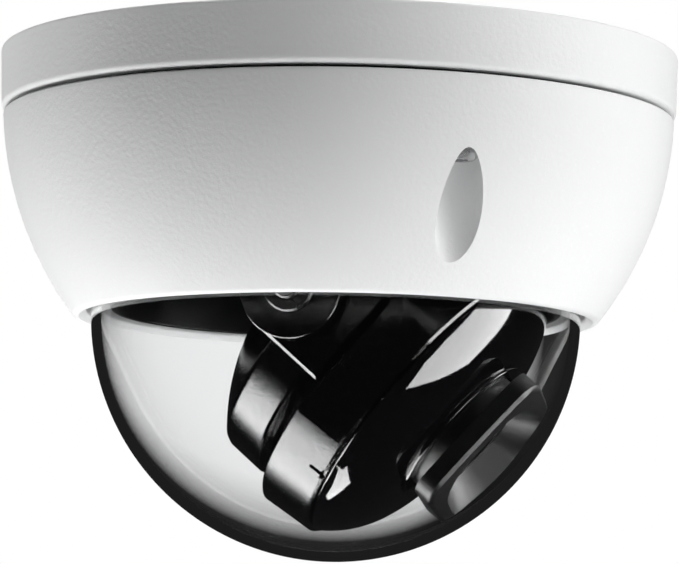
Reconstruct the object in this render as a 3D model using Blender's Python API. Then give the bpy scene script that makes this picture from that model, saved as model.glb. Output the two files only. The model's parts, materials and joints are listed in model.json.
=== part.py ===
"""Ceiling dome camera: turned base and cover, clear bubble, and a lens head that pans, tilts and turns.

Metres, +Z up. The origin is the centre of the ceiling face, the camera hangs below it, and the
front of the housing is -Y. The lens head is modelled about its optical axis, in head coordinates:
X along the tilt axis, Z along the optical axis, origin at the centre of the bubble.
"""
import math

import bmesh
import bpy
from mathutils import Matrix

MM = 0.001

# Fits and wall thicknesses
GAP = 0.3 * MM
RUNNING_GAP = 0.4 * MM
COVER_WALL = 2.4 * MM
BASE_WALL = 3.1 * MM
BASE_PLATE = 2.5 * MM
DOME_WALL = 1.8 * MM
LINER_WALL = 1.2 * MM
HEAD_WALL = 2.0 * MM

# Base and seam
BASE_RADIUS = 61.0 * MM
BASE_HEIGHT = 10.85 * MM
BASE_DRAFT = 0.25 * MM
BASE_TOP_EDGE = 0.5 * MM
BASE_LOWER_EDGE = 1.0 * MM
SEAM = 0.65 * MM
GASKET_WIDTH = 1.3 * MM
GASKET_OVERLAP = 2.2 * MM

# Cover
COVER_INSET = 0.6 * MM
COVER_HEIGHT = 36.3 * MM
COVER_CURVE = 63.0 * MM
COVER_LIP = 3.4 * MM
COVER_LIP_HEIGHT = 6.3 * MM
COVER_FOOT_EDGE = 1.6 * MM
COVER_FOOT_SLOPE = 1.0 * MM
COVER_FOOT_TURN = 30.0

# Screw wells of the cover
SCREW_COUNT = 3
WELL_FROM_EDGE = 6.7 * MM
WELL_RADIUS = 4.15 * MM
WELL_WALL = 1.35 * MM
WELL_SEAT = 10.0 * MM
COVER_SCREW_HEAD = 3.5 * MM
COVER_SCREW_HEAD_HEIGHT = 3.8 * MM
COVER_SCREW_SHANK = 1.7 * MM
SMALL_SCREW_HEAD = 1.7 * MM
SMALL_SCREW_HEAD_HEIGHT = 1.4 * MM
SMALL_SCREW_SHANK = 0.8 * MM
SMALL_SCREW_GRIP = 3.0 * MM
POST_WALL = 1.7 * MM

# Bubble and what clamps it
DOME_RADIUS = 43.9 * MM
DOME_CLEARANCE = 0.8 * MM
DOME_CENTRE_ABOVE_FOOT = 0.7 * MM
DOME_FLANGE = 2.3 * MM
DOME_FLANGE_HEIGHT = 1.8 * MM
SEAL_HEIGHT = 0.8 * MM
CLAMP_HEIGHT = 1.8 * MM
LINER_CLEARANCE = 1.7 * MM
LINER_FLANGE = 4.1 * MM
LINER_FLANGE_HEIGHT = 1.0 * MM
LINER_BELOW_TURNTABLE = 1.0 * MM

# Electronics in the base
STANDOFF_HEIGHT = 2.2 * MM
STANDOFF_FROM_EDGE = 6.0 * MM
BOARD_THICKNESS = 1.6 * MM
BOARD_TO_POSTS = 1.9 * MM
CABLE_FROM_CENTRE = 30.0 * MM
CABLE_HOLE = 7.0 * MM
CABLE_RADIUS = 3.0 * MM
GROMMET_FLANGE = 2.0 * MM
GROMMET_FLANGE_HEIGHT = 1.5 * MM
MOUNT_HOLE_FROM_WALL = 6.9 * MM
MOUNT_HOLE = 2.3 * MM
SOCKET_WIDTH = 12.0 * MM
SOCKET_DEPTH = 6.0 * MM
SOCKET_HEIGHT = 3.2 * MM
SOCKET_WALL = 0.9 * MM

# Pan bearing
CHASSIS_DROP = 1.65 * MM
CHASSIS_THICKNESS = 1.5 * MM
CHASSIS_FROM_WALL = 10.1 * MM
HUB_RADIUS = 9.0 * MM
HUB_BORE = 5.0 * MM
HUB_SHOULDER = 5.0 * MM
HUB_SHOULDER_HEIGHT = 1.7 * MM
TURNTABLE_THICKNESS = 2.5 * MM
TURNTABLE_TO_LINER = 1.7 * MM
CLIP_WIDTH = 3.2 * MM
CLIP_HEIGHT = 1.0 * MM

# Yoke and tilt pivot
TILT_AXIS_ABOVE_DOME_CENTRE = 2.0 * MM
ARM_THICKNESS = 3.0 * MM
ARM_END_RADIUS = 9.0 * MM
FOOT_LENGTH = 6.2 * MM
FOOT_THICKNESS = 2.2 * MM
TILT_WASHER_RADIUS = 4.5 * MM
TILT_WASHER_HEIGHT = 0.8 * MM
TILT_SCREW_HEAD = 2.4 * MM
TILT_SCREW_HEAD_HEIGHT = 1.4 * MM
TILT_SCREW_SHANK = 1.5 * MM

# Pose at rest, in degrees
REST_PAN = -6.8
REST_TILT_BELOW_LEVEL = 41.4

# Lens head: radii step in from the bubble, lengths run from its centre along the optical axis
HEAD_TO_BUBBLE = 10.5 * MM
RING_TAPER = 1.2 * MM
RING_FLAT_DEPTH = 2.2 * MM
REAR_STEP = 2.2 * MM
REAR_FLAT_DEPTH = 1.6 * MM
REAR_CURVE = 41.05 * MM
REAR_END = -10.8 * MM
REAR_BODY_FRONT = 9.4 * MM
NECK_STEP = 1.5 * MM
NECK_FRONT = 17.0 * MM
EAR_DEPTH = 3.8 * MM
RING_REAR = 13.7 * MM
RING_FRONT = 23.3 * MM
FRONT_DOME_STEP = 0.2 * MM
FRONT_DOME_CURVE = 18.0 * MM
FRONT_DOME_MOUTH = 15.0 * MM
FRONT_DOME_FRONT = 31.0 * MM
FRAME_THICKNESS = 1.2 * MM
IR_BOARD_THICKNESS = 1.4 * MM
LED_COUNT = 6
LED_FROM_EDGE = 8.1 * MM
LED_RADIUS = 2.5 * MM
LED_HEIGHT = 2.8 * MM
LED_CROWN = 1.25 * MM
LED_SHOULDER = 0.5 * MM

# Hood and lens
HOOD_BASE_RADIUS = 12.2 * MM
HOOD_RETAINER = 1.8 * MM
HOOD_RETAINER_HEIGHT = 1.0 * MM
HOOD_HALF_WIDTH = 13.25 * MM
HOOD_CORNER = 4.0 * MM
HOOD_WALL = 1.65 * MM
HOOD_NECK = 3.3 * MM
HOOD_FLOOR = 0.6 * MM
HOOD_TO_BUBBLE = 0.75 * MM
LENS_RADIUS = 8.7 * MM
LENS_OPENING = 9.0 * MM
LENS_WALL = 0.8 * MM
LENS_BORE = 4.0 * MM
LENS_REAR = 10.0 * MM
LENS_FLANGE = 2.3 * MM
LENS_FLANGE_HEIGHT = 1.4 * MM
GLASS_SEAT = 2.6 * MM
GLASS_RIM = 1.1 * MM
GLASS_BULGE = 1.0 * MM
SENSOR_BOARD_HALF = 16.0 * MM
SENSOR_BOARD_CORNER = 6.0 * MM
SENSOR_BOARD_THICKNESS = 1.5 * MM
SENSOR_HALF = 2.5 * MM
SENSOR_HEIGHT = 0.8 * MM
SENSOR_POST_CIRCLE = 14.0 * MM
SENSOR_POST_RADIUS = 1.5 * MM

# Facets of large, middle and small round pieces
ROUND_LARGE = 40
ROUND_MIDDLE = 28
ROUND_WELL = 20
ROUND_SMALL = 10
CUT_PAST = 3.0 * MM
WELD = 1e-7


def height_on(curve, radius):
    """Height above its centre of a circle or sphere at a distance from its axis."""
    return math.sqrt(curve * curve - radius * radius)


def arc_centre(first, last, curve):
    """Centre of the arc of one radius that runs clockwise from one (radius, height) point to another."""
    chord = math.dist(first, last)
    reach = height_on(curve, chord / 2)
    across = ((last[1] - first[1]) / chord, (first[0] - last[0]) / chord)
    return ((first[0] + last[0]) / 2 + reach * across[0], (first[1] + last[1]) / 2 + reach * across[1])


# Heights of the housing, from the ceiling face down
BASE_BOTTOM = -BASE_HEIGHT
COVER_TOP = BASE_BOTTOM - SEAM
GASKET_TOP = BASE_BOTTOM + GASKET_OVERLAP
GASKET_BOTTOM = COVER_TOP - GASKET_OVERLAP
COVER_BOTTOM = COVER_TOP - COVER_HEIGHT
COVER_FLOOR = COVER_BOTTOM + COVER_LIP_HEIGHT
DOME_CENTRE = COVER_BOTTOM + DOME_CENTRE_ABOVE_FOOT
WELL_TOP = COVER_TOP - WELL_SEAT
SEAL_BOTTOM = COVER_FLOOR + GAP
FLANGE_BOTTOM = SEAL_BOTTOM + SEAL_HEIGHT + GAP
FLANGE_TOP = FLANGE_BOTTOM + DOME_FLANGE_HEIGHT
CLAMP_BOTTOM = FLANGE_TOP + GAP
CLAMP_TOP = CLAMP_BOTTOM + CLAMP_HEIGHT
BOARD_TOP = -BASE_PLATE - STANDOFF_HEIGHT - GAP
BOARD_BOTTOM = BOARD_TOP - BOARD_THICKNESS
CHASSIS_TOP = BASE_BOTTOM - CHASSIS_DROP
CHASSIS_BOTTOM = CHASSIS_TOP - CHASSIS_THICKNESS
HUB_TOP = CHASSIS_TOP + GAP + CLIP_HEIGHT + GAP
SHOULDER_TOP = CHASSIS_BOTTOM - GAP
TURNTABLE_TOP = SHOULDER_TOP - HUB_SHOULDER_HEIGHT
TURNTABLE_BOTTOM = TURNTABLE_TOP - TURNTABLE_THICKNESS
TILT_AXIS = DOME_CENTRE + TILT_AXIS_ABOVE_DOME_CENTRE

# Radii of the housing
COVER_RIM_RADIUS = BASE_RADIUS - COVER_INSET
OPENING_RADIUS = DOME_RADIUS + DOME_CLEARANCE
COVER_FOOT_RADIUS = OPENING_RADIUS + COVER_LIP
BASE_INNER_RADIUS = BASE_RADIUS - BASE_WALL
GASKET_RADIUS = BASE_INNER_RADIUS - GAP
WELL_CIRCLE = BASE_RADIUS - WELL_FROM_EDGE
DOME_INNER_RADIUS = DOME_RADIUS - DOME_WALL
FLANGE_RADIUS = DOME_RADIUS + DOME_FLANGE
COVER_CENTRE = arc_centre((COVER_RIM_RADIUS, COVER_TOP), (COVER_FOOT_RADIUS, COVER_BOTTOM + COVER_FOOT_EDGE),
                          COVER_CURVE)
CLAMP_SCREW_CIRCLE = FLANGE_RADIUS + SMALL_SCREW_SHANK + 2 * GAP
CLAMP_RADIUS = CLAMP_SCREW_CIRCLE + SMALL_SCREW_HEAD
LINER_RADIUS = DOME_INNER_RADIUS - LINER_CLEARANCE
LINER_INNER_RADIUS = LINER_RADIUS - LINER_WALL
TURNTABLE_RADIUS = LINER_INNER_RADIUS - TURNTABLE_TO_LINER
CHASSIS_RADIUS = BASE_INNER_RADIUS - CHASSIS_FROM_WALL
CHASSIS_POST_RADIUS = SMALL_SCREW_SHANK + GAP + POST_WALL
CHASSIS_POST_CIRCLE = CHASSIS_RADIUS - CHASSIS_POST_RADIUS - GAP
BOARD_RADIUS = CHASSIS_POST_CIRCLE - CHASSIS_POST_RADIUS - BOARD_TO_POSTS
STANDOFF_CIRCLE = BOARD_RADIUS - STANDOFF_FROM_EDGE
MOUNT_HOLE_CIRCLE = BASE_INNER_RADIUS - MOUNT_HOLE_FROM_WALL

# Radii and flats of the head
RING_REAR_RADIUS = DOME_INNER_RADIUS - HEAD_TO_BUBBLE
RING_FRONT_RADIUS = RING_REAR_RADIUS - RING_TAPER
RING_FLAT = RING_REAR_RADIUS - RING_FLAT_DEPTH
REAR_RADIUS = RING_REAR_RADIUS - REAR_STEP
REAR_FLAT = REAR_RADIUS - REAR_FLAT_DEPTH
FRONT_DOME_RADIUS = RING_FRONT_RADIUS - FRONT_DOME_STEP

# Arms clear the flats of the head, and the feet turn inwards under the turntable
ARM_INNER = REAR_FLAT + RUNNING_GAP
ARM_OUTER = ARM_INNER + ARM_THICKNESS
FOOT_TOP = TURNTABLE_BOTTOM - GAP
ARM_SCREW_X = ARM_INNER - FOOT_LENGTH / 2

# Head: neck, front dome, frame and boards stack along the optical axis
NECK_RADIUS = REAR_RADIUS - NECK_STEP
RING_BORE = NECK_RADIUS + GAP
FRONT_SKIRT_REAR = NECK_FRONT + GAP
FRONT_DOME_REAR = RING_FRONT + GAP
FRONT_SKIRT_INNER = NECK_RADIUS - NECK_STEP
FRAME_RADIUS = FRONT_SKIRT_INNER - GAP
LED_CIRCLE = FRAME_RADIUS - LED_FROM_EDGE
FRAME_REAR = FRONT_SKIRT_REAR + GAP
FRAME_FRONT = FRAME_REAR + FRAME_THICKNESS
IR_BOARD_REAR = FRAME_FRONT + GAP
IR_BOARD_FRONT = IR_BOARD_REAR + IR_BOARD_THICKNESS
SPHERE_OF_HOOD = DOME_INNER_RADIUS - HOOD_TO_BUBBLE
FRONT_DOME_CENTRE = arc_centre((FRONT_DOME_MOUTH, FRONT_DOME_FRONT), (FRONT_DOME_RADIUS, FRONT_DOME_REAR),
                               FRONT_DOME_CURVE)
FRONT_MOUTH_INNER = HOOD_BASE_RADIUS + RUNNING_GAP
HOOD_FLANGE_REAR = FRONT_DOME_FRONT + HOOD_NECK
HOOD_FLOOR_FRONT = HOOD_FLANGE_REAR + HOOD_FLOOR
FRONT_DOME_WALL_REAR = FRONT_DOME_FRONT - HEAD_WALL
HOOD_RETAINER_FRONT = FRONT_DOME_WALL_REAR - GAP
LENS_FRONT = HOOD_FLANGE_REAR - 2 * GAP


def clear_scene():
    """Start from an empty scene."""
    for item in list(bpy.data.objects):
        bpy.data.objects.remove(item)


def finish_of(name, colour, roughness, metallic=0.0, alpha=1.0):
    """Make one Principled material."""
    finish = bpy.data.materials.new(name)
    finish.use_nodes = True
    shader = finish.node_tree.nodes["Principled BSDF"]
    shader.inputs["Base Color"].default_value = (*colour, 1.0)
    shader.inputs["Roughness"].default_value = roughness
    shader.inputs["Metallic"].default_value = metallic
    shader.inputs["Alpha"].default_value = alpha
    return finish


def make_object(name, bm, finish, parent=None):
    """Store a bmesh as a named object, smooth on its round faces."""
    bmesh.ops.recalc_face_normals(bm, faces=bm.faces)
    mesh = bpy.data.meshes.new(name)
    bm.to_mesh(mesh)
    bm.free()
    mesh.shade_smooth()
    mesh.set_sharp_from_angle(angle=math.radians(30))
    mesh.materials.append(finish)
    item = bpy.data.objects.new(name, mesh)
    item.parent = parent
    bpy.context.scene.collection.objects.link(item)
    return item


def make_pivot(name, parent=None, location=(0, 0, 0), rotation=(0, 0, 0)):
    """An empty on a joint's axis, which carries the pieces that move there."""
    pivot = bpy.data.objects.new(name, None)
    pivot.parent = parent
    pivot.location = location
    pivot.rotation_euler = rotation
    bpy.context.scene.collection.objects.link(pivot)
    return pivot


def turned(name, profile, finish, segments=ROUND_LARGE, parent=None):
    """Spin a closed outline of (radius, height) points about Z into one solid."""
    bm = bmesh.new()
    points = [bm.verts.new((radius, 0.0, height)) for radius, height in profile]
    for first, second in zip(points, points[1:] + points[:1]):
        if max(first.co.x, second.co.x) > WELD:
            bm.edges.new((first, second))
    outline = bm.verts[:] + bm.edges[:]
    bmesh.ops.spin(bm, geom=outline, axis=(0, 0, 1), cent=(0, 0, 0), steps=segments,
                   angle=math.tau, use_merge=True)
    bmesh.ops.remove_doubles(bm, verts=bm.verts, dist=WELD)
    return make_object(name, bm, finish, parent)


def slab(name, outline, low, high, finish, parent=None, matrix=Matrix.Identity(4)):
    """Raise a flat outline of (x, y) points from one height to another."""
    bm = bmesh.new()
    face = bm.faces.new([bm.verts.new((x, y, low)) for x, y in outline])
    raised = bmesh.ops.extrude_face_region(bm, geom=[face])
    top = [item for item in raised["geom"] if isinstance(item, bmesh.types.BMVert)]
    bmesh.ops.translate(bm, verts=top, vec=(0, 0, high - low))
    bm.transform(matrix)
    return make_object(name, bm, finish, parent)


def rods(name, places, radius, low, high, finish, segments=ROUND_SMALL, parent=None):
    """Upright rods of one size at several (x, y) places, in one object."""
    bm = bmesh.new()
    for x, y in places:
        bmesh.ops.create_cone(bm, cap_ends=True, segments=segments, radius1=radius, radius2=radius,
                              depth=high - low, matrix=Matrix.Translation((x, y, (low + high) / 2)))
    return make_object(name, bm, finish, parent)


def combine(target, operation, tool):
    """Join, cut or trim a piece with a tool shape, which stays hidden."""
    step = target.modifiers.new(tool.name, "BOOLEAN")
    step.operation = operation
    step.solver = "EXACT"
    step.object = tool
    tool.hide_render = True
    tool.display_type = "WIRE"


def arc(centre, radius, start, end, steps):
    """Points (radius, height) on a circle, from one angle to another, in degrees."""
    points = []
    for index in range(steps + 1):
        angle = math.radians(start + (end - start) * index / steps)
        points.append((centre[0] + radius * math.cos(angle), centre[1] + radius * math.sin(angle)))
    return points


def cap(centre, curve, from_radius, to_radius, side, steps):
    """Points on a sphere about the axis, from one radius to another; side is +1 front or -1 rear."""
    start = math.asin(from_radius / curve)
    end = math.asin(to_radius / curve)
    points = []
    for index in range(steps + 1):
        angle = start + (end - start) * index / steps
        points.append((curve * math.sin(angle), centre + side * curve * math.cos(angle)))
    return points


def rounded_square(half, corner, steps=5):
    """Outline of a square with round corners, centred on the axis."""
    inner = half - corner
    outline = []
    for quarter, (x, y) in enumerate(((inner, inner), (-inner, inner), (-inner, -inner), (inner, -inner))):
        outline += arc((x, y), corner, 90 * quarter, 90 * quarter + 90, steps)
    return outline


def places_round(count, circle, first):
    """(x, y) places on a circle; angles in degrees from the front, -Y, towards +X."""
    angles = [math.radians(first + 360 * index / count) for index in range(count)]
    return [(circle * math.sin(angle), -circle * math.cos(angle)) for angle in angles]


def screw_profile(head, head_height, shank, length):
    """A cap screw that points up, its head below the origin."""
    return [(0, -head_height), (head, -head_height), (head, 0), (shank, 0), (shank, length), (0, length)]


def screw_set(name, places, height, profile, finish, up=True, parent=None):
    """Separate screws of one shape at several places."""
    for index, (x, y) in enumerate(places, start=1):
        screw = turned(f"{name}_{index}", profile, finish, ROUND_SMALL, parent)
        screw.location = (x, y, height)
        if not up:
            screw.rotation_euler = (math.pi, 0, 0)


def cover_side(inset, top, bottom, steps):
    """Points down the cover's side between two heights, at a depth below its surface."""
    curve = COVER_CURVE - inset
    start = math.degrees(math.asin((top - COVER_CENTRE[1]) / curve))
    end = math.degrees(math.asin((bottom - COVER_CENTRE[1]) / curve))
    return arc(COVER_CENTRE, curve, start, end, steps)


# Places of the screws: the cover's wells flank the front, the inner screws lie between them
WELLS = places_round(SCREW_COUNT, WELL_CIRCLE, 60)
CHASSIS_POSTS = places_round(SCREW_COUNT, CHASSIS_POST_CIRCLE, 0)
STANDOFFS = places_round(SCREW_COUNT, STANDOFF_CIRCLE, 0)
CLAMP_SCREWS = places_round(SCREW_COUNT, CLAMP_SCREW_CIRCLE, 0)
MOUNT_HOLES = places_round(SCREW_COUNT, MOUNT_HOLE_CIRCLE, 30)
CABLE_PLACE = [(0.0, CABLE_FROM_CENTRE)]
SCREW_HOLE = SMALL_SCREW_SHANK + GAP


def base_pieces(coat, rubber):
    """Base casting with its bosses, and the grommet of the cable entry."""
    top = arc((BASE_RADIUS - BASE_TOP_EDGE, -BASE_TOP_EDGE), BASE_TOP_EDGE, 90, 0, 3)
    low_radius = BASE_RADIUS - BASE_DRAFT
    low = arc((low_radius - BASE_LOWER_EDGE, BASE_BOTTOM + BASE_LOWER_EDGE), BASE_LOWER_EDGE, 0, -90, 4)
    inside = [(BASE_INNER_RADIUS, BASE_BOTTOM), (BASE_INNER_RADIUS, -BASE_PLATE), (0, -BASE_PLATE)]
    base = turned("base_housing", [(0, 0)] + top + low + inside, coat)

    root = -BASE_PLATE / 2
    well_boss = COVER_SCREW_SHANK + GAP + POST_WALL
    bosses = rods("tool_base_bosses", WELLS, well_boss, GASKET_TOP + GAP, root, coat)
    posts = rods("tool_chassis_posts", CHASSIS_POSTS, CHASSIS_POST_RADIUS, CHASSIS_TOP + GAP, root, coat)
    standoff_end = -BASE_PLATE - STANDOFF_HEIGHT
    standoffs = rods("tool_standoffs", STANDOFFS, SCREW_HOLE + POST_WALL, standoff_end, root, coat)
    for tool in (bosses, posts, standoffs):
        combine(base, "UNION", tool)

    hole = COVER_SCREW_SHANK + GAP
    cuts = [
        rods("tool_cover_screw_holes", WELLS, hole, BASE_BOTTOM - CUT_PAST, -BASE_PLATE - GAP, coat),
        rods("tool_chassis_screw_holes", CHASSIS_POSTS, SCREW_HOLE, CHASSIS_BOTTOM - CUT_PAST,
             CHASSIS_TOP + SMALL_SCREW_GRIP + GAP, coat),
        rods("tool_board_screw_holes", STANDOFFS, SCREW_HOLE, BOARD_BOTTOM - CUT_PAST, root, coat),
        rods("tool_mount_holes", MOUNT_HOLES, MOUNT_HOLE, -BASE_PLATE - CUT_PAST, CUT_PAST, coat),
        rods("tool_cable_hole", CABLE_PLACE, CABLE_HOLE, -BASE_PLATE - CUT_PAST, CUT_PAST, coat,
             ROUND_MIDDLE),
    ]
    for tool in cuts:
        combine(base, "DIFFERENCE", tool)

    plug = CABLE_HOLE - GAP
    flange_top = -BASE_PLATE - GAP
    flange_low = flange_top - GROMMET_FLANGE_HEIGHT
    profile = [(CABLE_RADIUS, -GAP), (plug, -GAP), (plug, flange_top), (plug + GROMMET_FLANGE, flange_top),
               (plug + GROMMET_FLANGE, flange_low), (CABLE_RADIUS, flange_low)]
    grommet = turned("cable_grommet", profile, rubber, ROUND_MIDDLE)
    grommet.location = (0, CABLE_FROM_CENTRE, 0)


def gasket_piece(rubber):
    """Ring seal behind the seam, inside both rims."""
    inner = GASKET_RADIUS - GASKET_WIDTH
    turned("base_gasket", [(inner, GASKET_TOP), (GASKET_RADIUS, GASKET_TOP), (GASKET_RADIUS, GASKET_BOTTOM),
                           (inner, GASKET_BOTTOM)], rubber)


def electronics(board, steel, plastic):
    """Main board under the base plate, its screws and the socket of the lead."""
    plate = turned("main_board", [(0, BOARD_TOP), (BOARD_RADIUS, BOARD_TOP), (BOARD_RADIUS, BOARD_BOTTOM),
                                  (0, BOARD_BOTTOM)], board, ROUND_MIDDLE)
    room = CABLE_HOLE + GROMMET_FLANGE + 2 * GAP
    notch = rods("tool_board_notch", CABLE_PLACE, max(room, BOARD_RADIUS - CABLE_FROM_CENTRE + GAP),
                 BOARD_BOTTOM - CUT_PAST, BOARD_TOP + CUT_PAST, board, ROUND_MIDDLE)
    combine(plate, "DIFFERENCE", notch)
    combine(plate, "DIFFERENCE", bpy.data.objects["tool_board_screw_holes"])
    profile = screw_profile(SMALL_SCREW_HEAD, SMALL_SCREW_HEAD_HEIGHT, SMALL_SCREW_SHANK, SMALL_SCREW_GRIP)
    screw_set("board_screw", STANDOFFS, BOARD_BOTTOM - GAP, profile, steel)

    low = BOARD_BOTTOM - GAP - SOCKET_HEIGHT
    rear = CABLE_FROM_CENTRE - room - GAP
    front = rear - SOCKET_DEPTH
    half = SOCKET_WIDTH / 2
    outline = [(-half, front), (half, front), (half, rear), (-half, rear)]
    socket = slab("lead_connector", outline, low, BOARD_BOTTOM - GAP, plastic)
    inner = half - SOCKET_WALL
    mouth = [(-inner, front + SOCKET_WALL), (inner, front + SOCKET_WALL), (inner, rear + CUT_PAST),
             (-inner, rear + CUT_PAST)]
    hollow = slab("tool_socket_mouth", mouth, low + SOCKET_WALL, BOARD_BOTTOM - GAP - SOCKET_WALL, plastic)
    combine(socket, "DIFFERENCE", hollow)


def chassis_pieces(metal, steel):
    """Plate under the base that carries the pan bearing."""
    bore = HUB_RADIUS + GAP
    plate = turned("chassis_plate", [(bore, CHASSIS_TOP), (CHASSIS_RADIUS, CHASSIS_TOP),
                                     (CHASSIS_RADIUS, CHASSIS_BOTTOM), (bore, CHASSIS_BOTTOM)],
                   metal, ROUND_MIDDLE)
    combine(plate, "DIFFERENCE", bpy.data.objects["tool_chassis_screw_holes"])
    length = CHASSIS_THICKNESS + GAP + SMALL_SCREW_GRIP
    profile = screw_profile(SMALL_SCREW_HEAD, SMALL_SCREW_HEAD_HEIGHT, SMALL_SCREW_SHANK, length)
    screw_set("chassis_screw", CHASSIS_POSTS, CHASSIS_BOTTOM - GAP, profile, steel)


def cover_pieces(coat, steel):
    """Cover with its three screw wells, and the screws deep inside them."""
    foot_centre = (COVER_FOOT_RADIUS - COVER_FOOT_EDGE, COVER_BOTTOM + COVER_FOOT_EDGE)
    outside = cover_side(0, COVER_TOP, COVER_BOTTOM + COVER_FOOT_EDGE, 8)
    foot = arc(foot_centre, COVER_FOOT_EDGE, -COVER_FOOT_TURN, -90, 3)
    opening = [(OPENING_RADIUS, COVER_BOTTOM + COVER_FOOT_SLOPE), (OPENING_RADIUS, COVER_FLOOR)]
    inside = cover_side(COVER_WALL, COVER_FLOOR, COVER_TOP, 5)
    cover = turned("cover_shell", outside + foot + opening + inside, coat)

    # The clamp and the heads of its screws have room inside the cover, whatever its slope
    clamp_room = rods("tool_clamp_room", [(0, 0)], CLAMP_RADIUS + GAP, CLAMP_BOTTOM - GAP / 2,
                      CLAMP_TOP + SMALL_SCREW_HEAD_HEIGHT + 2 * GAP, coat, ROUND_LARGE)
    combine(cover, "DIFFERENCE", clamp_room)

    # Bosses round the wells stop just under the outer surface, so the union has no shared faces
    under = COVER_WALL / 2
    blank_low = COVER_BOTTOM + COVER_FOOT_EDGE
    blank_side = cover_side(under, COVER_TOP - GAP, blank_low, 8)
    blank = turned("tool_cover_blank", [(0, COVER_TOP - GAP)] + blank_side + [(0, blank_low)], coat)
    boss_radius = WELL_RADIUS + WELL_WALL
    bosses = rods("tool_well_bosses", WELLS, boss_radius, COVER_BOTTOM, GASKET_BOTTOM - GAP, coat, ROUND_WELL)
    combine(bosses, "INTERSECT", blank)
    combine(cover, "UNION", bosses)
    flange_room = rods("tool_flange_room", [(0, 0)], FLANGE_RADIUS + GAP, SEAL_BOTTOM - GAP / 2, CLAMP_BOTTOM,
                       coat, ROUND_LARGE)
    combine(cover, "DIFFERENCE", flange_room)
    wells = rods("tool_wells", WELLS, WELL_RADIUS, COVER_BOTTOM - CUT_PAST, WELL_TOP, coat, ROUND_WELL)
    combine(cover, "DIFFERENCE", wells)
    holes = rods("tool_well_holes", WELLS, COVER_SCREW_SHANK + GAP, WELL_TOP - CUT_PAST,
                 COVER_TOP + CUT_PAST, coat)
    combine(cover, "DIFFERENCE", holes)
    clamp_holes = rods("tool_clamp_holes", CLAMP_SCREWS, SCREW_HOLE, COVER_FLOOR - SMALL_SCREW_GRIP / 2 - GAP,
                       CLAMP_TOP + CUT_PAST, coat)
    combine(cover, "DIFFERENCE", clamp_holes)

    length = -BASE_PLATE - 2 * GAP - WELL_TOP
    profile = screw_profile(COVER_SCREW_HEAD, COVER_SCREW_HEAD_HEIGHT, COVER_SCREW_SHANK, length)
    screw_set("cover_screw", WELLS, WELL_TOP - GAP, profile, steel)


def bubble_pieces(clear, rubber, metal, steel, black):
    """Clear bubble, its seal and clamp, and the black skirt inside it."""
    outside = arc((0, DOME_CENTRE), DOME_RADIUS, -90, 0, 12)
    inside = arc((0, DOME_CENTRE), DOME_INNER_RADIUS, 0, -90, 12)
    flange = [(DOME_RADIUS, FLANGE_BOTTOM), (FLANGE_RADIUS, FLANGE_BOTTOM), (FLANGE_RADIUS, FLANGE_TOP),
              (DOME_INNER_RADIUS, FLANGE_TOP)]
    outside[0] = (0.0, outside[0][1])
    inside[-1] = (0.0, inside[-1][1])
    turned("dome_bubble", outside + flange + inside, clear)

    seal_inner = OPENING_RADIUS + GAP
    seal_top = SEAL_BOTTOM + SEAL_HEIGHT
    turned("dome_seal", [(seal_inner, seal_top), (FLANGE_RADIUS, seal_top), (FLANGE_RADIUS, SEAL_BOTTOM),
                         (seal_inner, SEAL_BOTTOM)], rubber)

    clamp_inner = LINER_RADIUS + GAP
    clamp = turned("clamp_ring", [(clamp_inner, CLAMP_TOP), (CLAMP_RADIUS, CLAMP_TOP),
                                  (CLAMP_RADIUS, CLAMP_BOTTOM), (clamp_inner, CLAMP_BOTTOM)], metal)
    clear_of_well = WELL_RADIUS + WELL_WALL + GAP
    notches = rods("tool_clamp_notches", WELLS, clear_of_well, CLAMP_BOTTOM - CUT_PAST, CLAMP_TOP + CUT_PAST,
                   metal, ROUND_WELL)
    combine(clamp, "DIFFERENCE", notches)
    combine(clamp, "DIFFERENCE", bpy.data.objects["tool_clamp_holes"])
    length = CLAMP_TOP + GAP - COVER_FLOOR + SMALL_SCREW_GRIP / 2
    profile = screw_profile(SMALL_SCREW_HEAD, SMALL_SCREW_HEAD_HEIGHT, SMALL_SCREW_SHANK, length)
    screw_set("clamp_screw", CLAMP_SCREWS, CLAMP_TOP + GAP, profile, steel, up=False)

    rim = DOME_CENTRE + GAP
    top = TURNTABLE_BOTTOM - LINER_BELOW_TURNTABLE
    shelf = CLAMP_TOP + GAP
    shelf_top = shelf + LINER_FLANGE_HEIGHT
    shelf_radius = LINER_RADIUS + LINER_FLANGE
    liner = turned("inner_liner", [(LINER_INNER_RADIUS, top), (LINER_RADIUS, top), (LINER_RADIUS, shelf_top),
                                   (shelf_radius, shelf_top), (shelf_radius, shelf), (LINER_RADIUS, shelf),
                                   (LINER_RADIUS, rim), (LINER_INNER_RADIUS, rim)], black)
    combine(liner, "DIFFERENCE", notches)


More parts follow.
